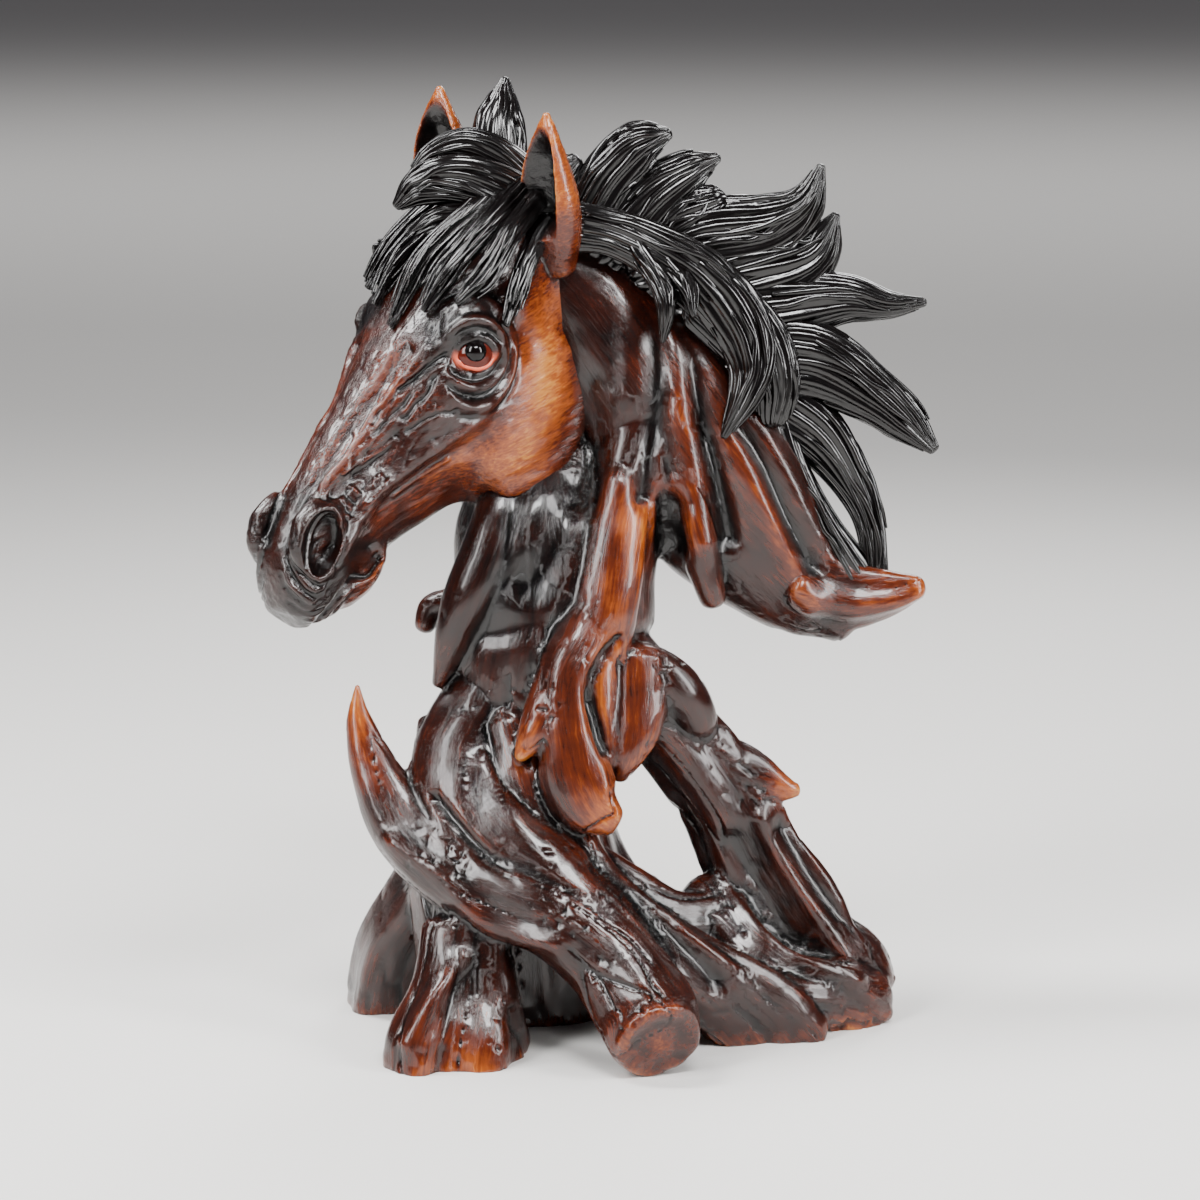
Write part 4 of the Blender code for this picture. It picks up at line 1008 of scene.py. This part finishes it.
# %% Locks of the mane
LOCKS = {
    "L1": ((-6, 0, 262, 8, 7), (2, 2, 278, 8.5, 7), (12, 3, 289, 7, 6), (22, 3, 293, 2, 2)),
    "L2": ((4, 2, 256, 10, 8), (17, 5, 272, 9, 7), (29, 7, 281, 6, 5), (38, 8, 285, 1.8, 1.8)),
    "L3": (
        (13, 4, 248, 12, 9), (34, 7, 258, 13, 9), (54, 9, 262, 11, 7), (67, 9, 270, 6, 4.5),
        (72, 9, 282, 1.5, 1.5),
    ),
    "L3b": ((27, 6, 240, 14, 9), (50, 9, 246, 14, 9), (69, 11, 253, 9, 6), (77, 11, 266, 1.6, 1.6)),
    "L4": (
        (34, 6, 232, 13, 9), (59, 9, 236, 12, 9), (80, 9, 239, 7.5, 5.5), (94, 8, 237, 4, 3.5),
        (106, 8, 238, 1.5, 1.5),
    ),
    "L5": (
        (42, 4, 217, 13, 9), (68, 5, 219, 13, 10), (88, 3, 209, 9, 7), (101, 1, 199, 6, 5.5),
        (109, -1, 191, 2.2, 2.2),
    ),
    "L6": (
        (50, 4, 207, 12, 9), (70, 5, 196, 10, 8), (82, 5, 181, 6.5, 6), (89, 3, 166, 4.5, 5),
        (91, 1, 149, 4, 4),
    ),
    "L7": ((52, 2, 200, 11, 8), (62, 1, 182, 7, 7), (72, 0, 165, 6, 7), (82, 0, 148, 8, 7)),
    "L12": ((0, 3, 254, 11, 8), (13, 5, 267, 9, 7), (21, 6, 276, 6, 5), (25, 6, 282, 2.5, 2.5)),
    "L23": ((14, 5, 252, 12, 8), (28, 7, 264, 11, 8), (38, 8, 270, 7, 6)),
    "S1": (
        (30, -8, 250, 8, 8), (40, -9, 240, 10, 8), (47, -10, 229, 9, 8), (49, -12, 218, 6.5, 6.5),
        (46, -15, 208, 4, 4.5),
        (40, -17, 197, 1.2, 1.5),
    ),
    "S2": (
        (12, -12, 258, 4, 5), (19, -16, 248, 3.5, 4.5), (21.5, -19, 239, 2.6, 3.5),
        (20, -20, 228, 0.9, 1.4),
    ),
    "S0": ((20, -11, 254, 4, 5), (27, -15, 246, 3.5, 4.5), (30, -19, 236, 0.9, 1.5)),
    "S3": ((36, -4, 240, 12, 9), (50, -5, 226, 11, 9), (56, -6, 213, 8, 7), (56, -7, 202, 5, 5)),
    "crest": (
        (-10, -7, 264, 8, 7), (4, -9, 262, 7, 7), (18, -10, 256, 8, 7), (32, -9, 247, 10, 7),
        (42, -8, 236, 9, 7),
    ),
    "far_side_1": (
        (12, 14, 250, 9, 6), (34, 20, 238, 10, 6), (50, 22, 218, 7, 5), (56, 22, 200, 1.5, 1.5),
    ),
    "far_side_2": (
        (-4, 14, 262, 9, 6), (12, 22, 248, 9, 6), (24, 26, 228, 7, 5), (26, 26, 208, 1.5, 1.5),
    ),
    "far_side_3": (
        (30, 14, 240, 9, 6), (50, 20, 226, 9, 6), (68, 20, 206, 6, 5), (78, 17, 190, 1.5, 1.5),
    ),
    "spike_top": (
        (-32, 4, 276, 9, 8), (-33, 8, 294, 8, 6), (-32, 11, 303, 4.5, 4), (-31, 12, 310, 1.5, 1.5),
    ),
    "poll_tuft": ((-22, 4, 262, 14, 12), (-16, 4, 276, 10, 9), (-8, 4, 284, 3, 3)),
    "curl": (
        (-20, 0, 266, 10, 9), (-34, -6, 275, 9, 8), (-47, -10, 279, 7.5, 7),
        (-58, -11, 277, 5.5, 5.5), (-65, -12, 271, 1.8, 2),
    ),
    "curl_top": (
        (-20, 3, 270, 9, 8), (-33, 0, 283, 8, 6), (-44, -3, 288, 6.5, 5), (-54, -6, 285.5, 4, 4),
        (-60, -8, 281, 1.5, 1.5),
    ),
    "curl_low": (
        (-26, -4, 260, 9, 8), (-40, -10, 266, 7, 6.5), (-52, -12, 266, 4.5, 4.5),
        (-61, -12, 261, 1.5, 1.8),
    ),
}

print("locks of the mane:", len(LOCKS))

# %% Tufts of the forelock, in the head's axes
FORELOCK = (
    ((-6, 0, 18, 8, 6), (14, -4, 23, 8, 5), (34, -10, 24, 6, 4), (52, -10, 22, 1.5, 2)),
    ((-6, 6, 18, 8, 6), (14, 6, 23, 7, 5), (36, 3, 25, 5, 4), (60, 4, 21, 1.2, 2)),
    ((-4, 12, 16, 7, 6), (16, 14, 21, 7, 5), (36, 14, 23, 5, 4), (52, 13, 21, 1.2, 2)),
    ((-2, 17, 12, 7, 6), (16, 21, 16, 6, 5), (32, 23, 16, 4, 4), (46, 22, 18, 1.2, 2)),
    ((2, 19, 5, 7, 6), (16, 23, 6, 6, 5), (28, 25, 4, 4, 4), (40, 27, 1, 1.5, 2)),
    ((-6, -6, 17, 8, 6), (12, -14, 22, 8, 5), (30, -20, 22, 5, 4), (44, -23, 19, 1.5, 2)),
    ((-4, -14, 14, 7, 6), (10, -22, 16, 6, 5), (24, -26, 16, 4, 4), (30, -29, 22, 1.5, 2)),
)
print("tufts of the forelock:", len(FORELOCK))

# %% Strands and ridges


def loose_strands(clay, rows, facing, count, seed, thick=1.7, spread=0.0):
    """Thin strands that run along a lock's skin, end at different places and may fan out."""
    luck = np.random.default_rng(seed)
    path = spline(rows, 8)
    for _ in range(count):
        turn = luck.uniform(0, 2 * math.pi)
        start, stop = luck.uniform(0, 0.35), luck.uniform(0.75, 1.0)
        spots = np.linspace(start, stop, 7) * (len(path) - 1)
        rows_here = np.column_stack([np.interp(spots, np.arange(len(path)), path[:, i]) for i in range(5)])
        centres, widths, along, wide, thin = limb_axes(rows_here, facing, 1)
        turns = turn + luck.normal(0, 0.12, 7).cumsum()
        fan = 0.97 + spread * luck.uniform(0, 1) * np.linspace(0, 1, 7)[:, None] ** 2
        out = wide * (np.cos(turns) * widths[:, 0])[:, None]
        out = out + thin * (np.sin(turns) * widths[:, 1])[:, None]
        size = thick * luck.uniform(0.7, 1.15) * np.array((0.6, 0.9, 1, 1, 0.9, 0.7, 0.3))
        strand = np.column_stack([centres + fan * out, size, size * 0.8])
        loft(clay, strand, facing=facing, per_span=4, sides=6)


def ridges_for(rows, pitch):
    """How many ridges fit round a lock, that many millimetres apart."""
    girth = 2 * math.pi * np.array(rows)[:, 3:5].mean()
    return max(5, round(girth / pitch))


# %% Mane and forelock
MANE_PITCH, FORELOCK_PITCH = 3.2, 3.4
TUFT_SLIMNESS = np.array((0.55, 0.7))  # of the tufts' widths and thicknesses


def mane():
    clay = Clay()
    for number, rows in enumerate(LOCKS.values()):
        ridges = ridges_for(rows, MANE_PITCH)
        loft(clay, rows, ridges=ridges, depth=0.09, twist=0.5, sides=6 * ridges, per_span=6, cusped=True)
        loose_strands(clay, rows, (0, -1, 0), 16, number, 1.15, spread=0.25)
    return clay


def forelock():
    clay = Clay()
    for number, rows in enumerate(FORELOCK):
        turned = [(*from_head(row[:3]), *(TUFT_SLIMNESS * row[3:])) for row in rows]
        ridges = ridges_for(turned, FORELOCK_PITCH)
        loft(clay, turned, facing=BROWWARD, ridges=ridges, depth=0.12, twist=0.6,
             sides=6 * ridges, per_span=8, cusped=True)
        loose_strands(clay, turned, BROWWARD, 26, 100 + number, 0.75, spread=1.3)
    return clay


# %% [markdown]
# ## Make the pieces
# Each piece leaves the clay as points and faces, and stain and painted shade are laid on it in
# soft patches, as with an airbrush. What is painted is stored in the mesh for the finishes to
# read. An image on an unwrapped skin could hold it too, but would need seams across every root.

# %% Painting


def painted(points, base, patches):
    """Stain and painted shade from 0, near black, to 1, ochre, with patches painted over a base."""
    stain_and_shade = np.full(len(points), float(base))
    for path, radius, value in patches:
        weight = beside(points, path, radius)
        stain_and_shade += weight * (value - stain_and_shade)
    return stain_and_shade


def shaded_and_settled(hollow):
    """Painted shade in hollows and painted highlight on ridges, over stain that settles in hollows
    and wears off ridges.
    """
    return np.where(hollow > 0, 1.2 * hollow, 0.3 * hollow)


# %% The head
# Where the stain is laid on the face: a path, its radius, and from 0, near black, to 1, ochre.
FACE_STAINS = (
    (((20, 0, 24), (20, 14, 20)), 18, 0.2),
    (((10, 18, -8), (24, 24, -16)), 12, 0.62),
    (((30, 26, -18), (50, 24, -30), (66, 20, -36)), 15, 0.86),
    (((74, 20, -20), (92, 16, -22)), 9, 0.74),
    (((96, 14, -14), (110, 13, -12)), 7, 0.6),
    (((66, 12, 18), (118, 9, 14)), 6, 0.55),
    (((55, 27, 6),), 12, 0.12),
    (((40, 20, 14), (54, 18, 16)), 8, 0.1),
    (((132, 10, 4), (138, 12, -4)), 14, 0.2),
    (((140, 6, -8), (148, 4, -12)), 10, 0.12),
    (((128, 9, 2), (133, 9, -2)), 5, 0.45),
    (((120, 8, -26), (132, 7, -26)), 7, 0.52),
)
FACE_BASE = 0.38
EAR_RIM, EAR_CAVITY = 0.72, 0.08


def stain_ears(stain_and_shade, points, pressed):
    """Ochre on the backs and rims of the ears, near black in their hollows."""
    cavity = np.clip(pressed / 2.5, 0, 1)
    for rows in EARS:
        path = spline(rows, 6)
        x, y, wide = (np.interp(points[:, 2], path[:, 2], path[:, i]) for i in (0, 1, 3))
        away = np.hypot(points[:, 0] - x, points[:, 1] - y)
        share = np.clip((points[:, 2] - rows[0][2]) / 22, 0, 1) * np.clip(2.2 - away / wide, 0, 1)
        stain_and_shade += share * (EAR_RIM - (EAR_RIM - EAR_CAVITY) * cavity - stain_and_shade)


points, faces, hairs, ear_pressed = sculpt_head()
folded = mirrored(points)
stain_and_shade = painted(folded, FACE_BASE, FACE_STAINS)
stain_ears(stain_and_shade, points, ear_pressed)
flesh = beside(folded, round_eye(6.2, -4.8, (3.2, 5.6)), 1.2)
# How hollow the skin is: painted shade in the hollows and painted highlight on the ridges.
hollow = shaded_and_settled(hollowness(points, faces, 12))
marks = {"stain_and_shade": stain_and_shade, "flesh": flesh, "hollow": hollow, "grain": hairs}
head = finished("horse_head", points, faces, marks)

# %% The stand
WOOD_BASE = 0.35
# Where stain and painted shade are laid on the stand: a path, its radius, and from 0, near black, to 1,
# ochre.
WOOD_STAINS_AND_SHADE = (
    # Painted shade: near black on the throat under the cheek, down the valley between the fold and the
    # tongue.
    (((-22, -18, 214), (-20, -24, 180), (-26, -28, 150)), 16, 0.12),
    (((4, -24, 250), (8, -24, 210), (6, -26, 186)), 7, 0.5),
    (((22, -20, 240), (28, -20, 200), (32, -18, 165)), 7, 0.52),
    (((36, -18, 214), (52, -18, 176), (68, -14, 142)), 7, 0.55),
    (((12, -20, 170), (2, -26, 136), (-6, -38, 100), (2, -46, 78)), 10, 0.8),
    (((-14, -34, 114), (-26, -40, 96)), 7, 0.78),
    (((12, -22, 122), (13, -28, 92)), 9, 0.68),
    (((-79, -23, 116), (-76, -26, 92), (-66, -32, 74)), 5, 0.72),
    (((13, -74, 14), (20, -80, 12)), 12, 0.62),
    (((84, -2, 142), (106, -3, 144)), 11, 0.66),
    (((60, -10, 80), (66, -10, 78)), 7, 0.7),
    (((-56, -66, 8), (-40, -66, 4)), 9, 0.6),
    (((96, 0, 10), (80, -24, 4)), 9, 0.55),
)
points, faces, grain = sculpt_stand()
stain_and_shade = painted(points, WOOD_BASE, WOOD_STAINS_AND_SHADE)
worn_feet = np.clip((7 - points[:, 2]) / 6, 0, 1) * np.clip(1 + noise(points / 9, 12), 0, 1)
stain_and_shade += 0.22 * worn_feet
# How hollow the skin is: painted shade in the hollows and painted highlight on the ridges.
hollow = shaded_and_settled(hollowness(points, faces, 14))
marks = {"stain_and_shade": stain_and_shade, "hollow": hollow, "grain": grain}
stand = finished("driftwood_stand", points, faces, marks, on_ground=True)
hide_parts("horse_head_figurine")

# %% The hair
hair_pieces = []
for name, clay in (("mane", mane()), ("forelock", forelock())):
    marks = {"strand": np.vstack(clay.strands)}
    hair_pieces.append(finished(name, np.vstack(clay.points), clay.faces, marks))

# %% The eyes
IRIS = 3.9
IRIS_REACH = 4.3  # from the middle of the eyeball, so that the iris bulges out of it a little
IRIS_WAY = unit(EYE_OUT + 0.15 * EYE_UP - 0.05 * EYE_LONG)


def pair_of_balls(name, centre, radius):
    clay = Clay()
    for side in (1, -1):
        ball(clay, from_head(centre * (1, side, 1)), (radius,) * 3, HEAD_AXES, around=48)
    return finished(name, np.vstack(clay.points), clay.faces, {})


eyes_piece = pair_of_balls("eyeballs", EYE, EYEBALL)
iris_piece = pair_of_balls("irises", EYE + IRIS_REACH * IRIS_WAY, IRIS)

# %% [markdown]
# ## Finishes
# The casting is polyester resin, stained in layers and sprayed with gloss lacquer. Stain
# pools in hollows and wears off ridges, and on top of that the hollows get painted shade and
# the ridges painted highlight. So a ramp from near black to ochre is driven by the painted
# stain and shade, by how hollow the skin is, and by grain noise. A picture of wood wrapped
# round it would be quicker, but its grain would not turn with the roots.

# %% Colour and node helpers


def linear(hex_colour):
    """An sRGB hex colour as linear red, green, blue and alpha."""
    parts = [int(hex_colour[i : i + 2], 16) / 255 for i in (1, 3, 5)]
    return (*[p / 12.92 if p <= 0.04045 else ((p + 0.055) / 1.055) ** 2.4 for p in parts], 1)


def fill(tree, node, inputs):
    """Sets a node's inputs: an output is linked, and anything else is a value."""
    for key, source in inputs.items():
        if isinstance(source, bpy.types.NodeSocket):
            tree.links.new(source, node.inputs[key])
        else:
            node.inputs[key].default_value = source


def add_node(tree, kind, inputs, **properties):
    """Adds a node with its properties and inputs."""
    node = tree.nodes.new(kind)
    for key, value in properties.items():
        setattr(node, key, value)
    fill(tree, node, inputs)
    return node


def new_material(name):
    material = bpy.data.materials.new(name)
    material.use_nodes = True
    return material, material.node_tree, material.node_tree.nodes["Principled BSDF"]


def set_stops(ramp, stops):
    """Gives a colour ramp its stops: places from 0 to 1 and their hex colours."""
    elements = ramp.color_ramp.elements
    while len(elements) < len(stops):
        elements.new(0.5)
    for element, (place, colour) in zip(elements, stops):
        element.position = place
        element.color = linear(colour)


# %% Stained and lacquered resin
# From near black through mahogany to ochre, as thinner and thinner stain lets the resin show.
STAINS = (
    (0.0, "#030202"), (0.22, "#0e0504"), (0.42, "#270d07"), (0.6, "#4c1c0b"),
    (0.8, "#854015"), (1.0, "#b4772e"),
)
MOTTLE_PER_METRE = 70.0  # cloudy patches of stain, about 14 mm across
# The last of these darkens hollows as painted shade and lightens ridges as painted highlight.
MOTTLE, FIBRE, SHADE_AND_WEAR = 0.5, 0.55, -0.55  # how much each shifts the stain
LEVEL = 0.52  # what the two noises add on average
GLOSS = (0.1, 0.24)  # roughness of the lacquer, from well flowed out to slightly dull
FIBRE_RELIEF = 0.5 * MM


def lacquered(name, fibres_per_mm, bump):
    """Stained resin under gloss lacquer, with its fibres along the grain, painted shade in its
    hollows and painted highlight on its ridges; the colour is handed back for the base colour
    to be linked by the caller."""
    material, tree, shader = new_material(name)
    stain_and_shade, hollow, grain = (
        add_node(tree, "ShaderNodeAttribute", {}, attribute_name=mark).outputs
        for mark in ("stain_and_shade", "hollow", "grain")
    )
    stretched = add_node(
        tree, "ShaderNodeMapping", {"Vector": grain["Vector"], "Scale": fibres_per_mm}
    ).outputs["Vector"]
    fibre = add_node(
        tree, "ShaderNodeTexNoise",
        {"Vector": stretched, "Scale": 1.0, "Detail": 6.0, "Roughness": 0.62},
    ).outputs["Fac"]
    place = add_node(tree, "ShaderNodeTexCoord", {}).outputs["Object"]
    cloud = add_node(
        tree, "ShaderNodeTexNoise",
        {"Vector": place, "Scale": MOTTLE_PER_METRE, "Detail": 5.0, "Roughness": 0.6},
    ).outputs["Fac"]
    # Painted shade in hollows and painted highlight on ridges, over stain that settles and wears.
    shade_and_wear = add_node(
        tree, "ShaderNodeMath", {0: hollow["Fac"], 1: SHADE_AND_WEAR}, operation="MULTIPLY"
    ).outputs["Value"]
    mottled = add_node(
        tree, "ShaderNodeMath", {0: cloud, 1: MOTTLE, 2: stain_and_shade["Fac"]}, operation="MULTIPLY_ADD"
    ).outputs["Value"]
    lined = add_node(
        tree, "ShaderNodeMath", {0: fibre, 1: FIBRE, 2: mottled}, operation="MULTIPLY_ADD"
    ).outputs["Value"]
    level = add_node(tree, "ShaderNodeMath", {0: lined, 1: shade_and_wear}, operation="ADD").outputs["Value"]
    centred = add_node(
        tree, "ShaderNodeMath", {0: level, 1: LEVEL}, operation="SUBTRACT"
    ).outputs["Value"]
    colour = add_node(tree, "ShaderNodeValToRGB", {"Fac": centred})
    set_stops(colour, STAINS)
    gloss = add_node(
        tree, "ShaderNodeMapRange", {"Value": cloud, "To Min": GLOSS[0], "To Max": GLOSS[1]}
    )
    relief = add_node(
        tree, "ShaderNodeBump", {"Height": fibre, "Strength": bump, "Distance": FIBRE_RELIEF}
    )
    fill(tree, shader, {
        "Roughness": gloss.outputs["Result"],
        "Normal": relief.outputs["Normal"],
        "Specular IOR Level": 0.36,
        "Coat Weight": 0.3,
        "Coat Roughness": 0.08,
    })
    print("finish:", name)
    return material, tree, shader, colour.outputs["Color"]


# %% On the wood
# Cast polyester resin, brushed with stain: fibres about 1.1 mm apart and 14 mm long.
wood_finish, tree, shader, colour = lacquered(
    "cast_polyresin_stained_with_painted_shade_and_lacquered", (0.9, 0.9, 0.07), 0.5
)
fill(tree, shader, {"Base Color": colour})
stand.data.materials.append(wood_finish)

# %% On the face
# The same resin with short hair, about 0.7 mm apart and 5 mm long, and flesh at the lower lid.
FLESH = "#d0583a"
face_finish, tree, shader, colour = lacquered(
    "cast_polyresin_face_stained_and_lacquered", (1.5, 1.5, 0.2), 0.45
)
flesh = add_node(tree, "ShaderNodeAttribute", {}, attribute_name="flesh")
pink = add_node(
    tree, "ShaderNodeMix",
    {"Factor": flesh.outputs["Fac"], "A": colour, "B": linear(FLESH)}, data_type="RGBA",
)
fill(tree, shader, {"Base Color": pink.outputs["Result"]})
head.data.materials.append(face_finish)

# %% [markdown]
# ## Hair and eyes
# The hair is the same resin, sprayed black before the lacquer, so it shows by its gloss and
# hardly by its colour. The eyes are paint under clear varnish, glossier than all the rest.

# %% Black lacquered hair
# Brush marks about 0.9 mm apart and 20 mm long, which run along each lock.
MARKS_PER_MM = (1.1, 1.1, 0.05)
BLACKS = ((0.3, "#020101"), (0.65, "#070404"), (0.85, "#1a0a06"))
hair_finish, tree, shader = new_material("cast_polyresin_black_lacquered_hair")
strand = add_node(tree, "ShaderNodeAttribute", {}, attribute_name="strand")
combed = add_node(
    tree, "ShaderNodeMapping", {"Vector": strand.outputs["Vector"], "Scale": MARKS_PER_MM}
)
brushed = add_node(
    tree, "ShaderNodeTexNoise",
    {"Vector": combed.outputs["Vector"], "Scale": 1.0, "Detail": 4.0, "Roughness": 0.6},
).outputs["Fac"]
blacks = add_node(tree, "ShaderNodeValToRGB", {"Fac": brushed})
set_stops(blacks, BLACKS)
relief = add_node(
    tree, "ShaderNodeBump", {"Height": brushed, "Strength": 0.3, "Distance": 0.4 * MM}
)
fill(tree, shader, {
    "Base Color": blacks.outputs["Color"],
    "Normal": relief.outputs["Normal"],
    "Roughness": 0.18,
    "Specular IOR Level": 0.4,
    "Coat Weight": 0.25,
    "Coat Roughness": 0.1,
})
for piece in hair_pieces:
    piece.data.materials.append(hair_finish)
print("finish:", hair_finish.name)

# %% Painted and varnished eyes


def glazed(name, hex_colour):
    """Paint under clear varnish, with a very fine brushed unevenness."""
    material, tree, shader = new_material(name)
    brushed = add_node(tree, "ShaderNodeTexNoise", {"Scale": 900.0, "Detail": 2.0})
    relief = add_node(
        tree, "ShaderNodeBump",
        {"Height": brushed.outputs["Fac"], "Strength": 0.04, "Distance": 0.2 * MM},
    )
    fill(tree, shader, {
        "Normal": relief.outputs["Normal"],
        "Base Color": linear(hex_colour),
        "Roughness": 0.05,
        "Specular IOR Level": 0.3,
    })
    print("finish:", name)
    return material


eyes_piece.data.materials.append(glazed("red_brown_painted_and_varnished_eye", "#4a150c"))
iris_piece.data.materials.append(glazed("near_black_painted_and_varnished_iris", "#060303"))

# %% [markdown]
# ## Studio
# A pale floor and soft lights. Gloss shows a light only where it mirrors it, so the boxes
# are placed by reflection: one high on the left for the bridge of the nose, one above for
# the upper cheek, one on each side for the roots, and one behind for the edges. Two more
# even the floor behind, and the far one faces away, so that the gloss doesn't mirror it.

# %% Floor
LEFT, RIGHT, FRONT, BACK = -30, 30, -10, 50
floor_mesh = bpy.data.meshes.new("floor")
corners = [(LEFT, FRONT, 0), (RIGHT, FRONT, 0), (RIGHT, BACK, 0), (LEFT, BACK, 0)]
floor_mesh.from_pydata(corners, [], [(0, 1, 2, 3)])
floor = shown("floor", floor_mesh)
floor_finish, tree, shader = new_material("matt_pale_paper")
paper = add_node(tree, "ShaderNodeTexNoise", {"Scale": 400.0, "Detail": 3.0})
relief = add_node(
    tree, "ShaderNodeBump",
    {"Height": paper.outputs["Fac"], "Strength": 0.05, "Distance": 0.5 * MM},
)
fill(tree, shader, {
    "Base Color": linear("#dcdad7"),
    "Roughness": 0.7,
    "Normal": relief.outputs["Normal"],
})
floor.data.materials.append(floor_finish)

# %% Lights
# Each box: where it hangs, what it faces, its width and height in metres, and its watts.
SOFTBOXES = {
    "key": ((-0.75, -0.75, 0.75), (0, 0, 0.15), 0.28, 0.9, 20),
    "side": ((0.85, -0.45, 0.55), (0, 0, 0.15), 0.2, 0.8, 14),
    "bridge": ((-0.58, 0.02, 1.12), (-0.04, -0.02, 0.22), 0.2, 0.6, 20),
    "top": ((0.2, -0.68, 0.98), (-0.02, -0.02, 0.22), 0.4, 0.18, 13),
    "back": ((0.3, 0.9, 0.8), (0, 0, 0.2), 0.5, 0.3, 7),
    "backdrop": ((0, 3.2, 2.4), (0, 3.2, 0), 6.0, 3.0, 60),
    "far": ((0, 4.0, 4.5), (0, 16.0, 0), 8.0, 2.0, 220),
}
for name, (place, target, width, height, power) in SOFTBOXES.items():
    light = bpy.data.lights.new(f"{name}_softbox", "AREA")
    light.shape = "RECTANGLE"
    light.size, light.size_y, light.energy = width, height, power
    lamp = shown(f"{name}_softbox", light)
    lamp.location = place
    lamp.rotation_euler = (Vector(target) - Vector(place)).to_track_quat("-Z", "Y").to_euler()
world = bpy.data.worlds.new("studio")
world.use_nodes = True
air = world.node_tree.nodes["Background"]
fill(world.node_tree, air, {"Color": linear("#c9c7cc"), "Strength": 0.2})
bpy.context.scene.world = world
print("lights:", ", ".join(SOFTBOXES))

# %% Camera
# It looks a little down at the middle of the figurine, from the front.
ELEVATION = math.radians(10)
DISTANCE = 1.2
AIM_HEIGHT = 0.14036
SENSOR, LENS = 36, 109.08
aim = Vector((SHIFT[0] * MM, SHIFT[1] * MM, AIM_HEIGHT))
camera_data = bpy.data.cameras.new("camera")
camera_data.sensor_width = SENSOR
camera_data.lens = LENS
camera = shown("camera", camera_data)
away = Vector((0, -math.cos(ELEVATION), math.sin(ELEVATION)))
camera.location = aim + DISTANCE * away
camera.rotation_mode = "QUATERNION"
camera.rotation_quaternion = (-away).to_track_quat("-Z", "Y")
bpy.context.scene.camera = camera
print("camera at", [round(v, 3) for v in camera.location])
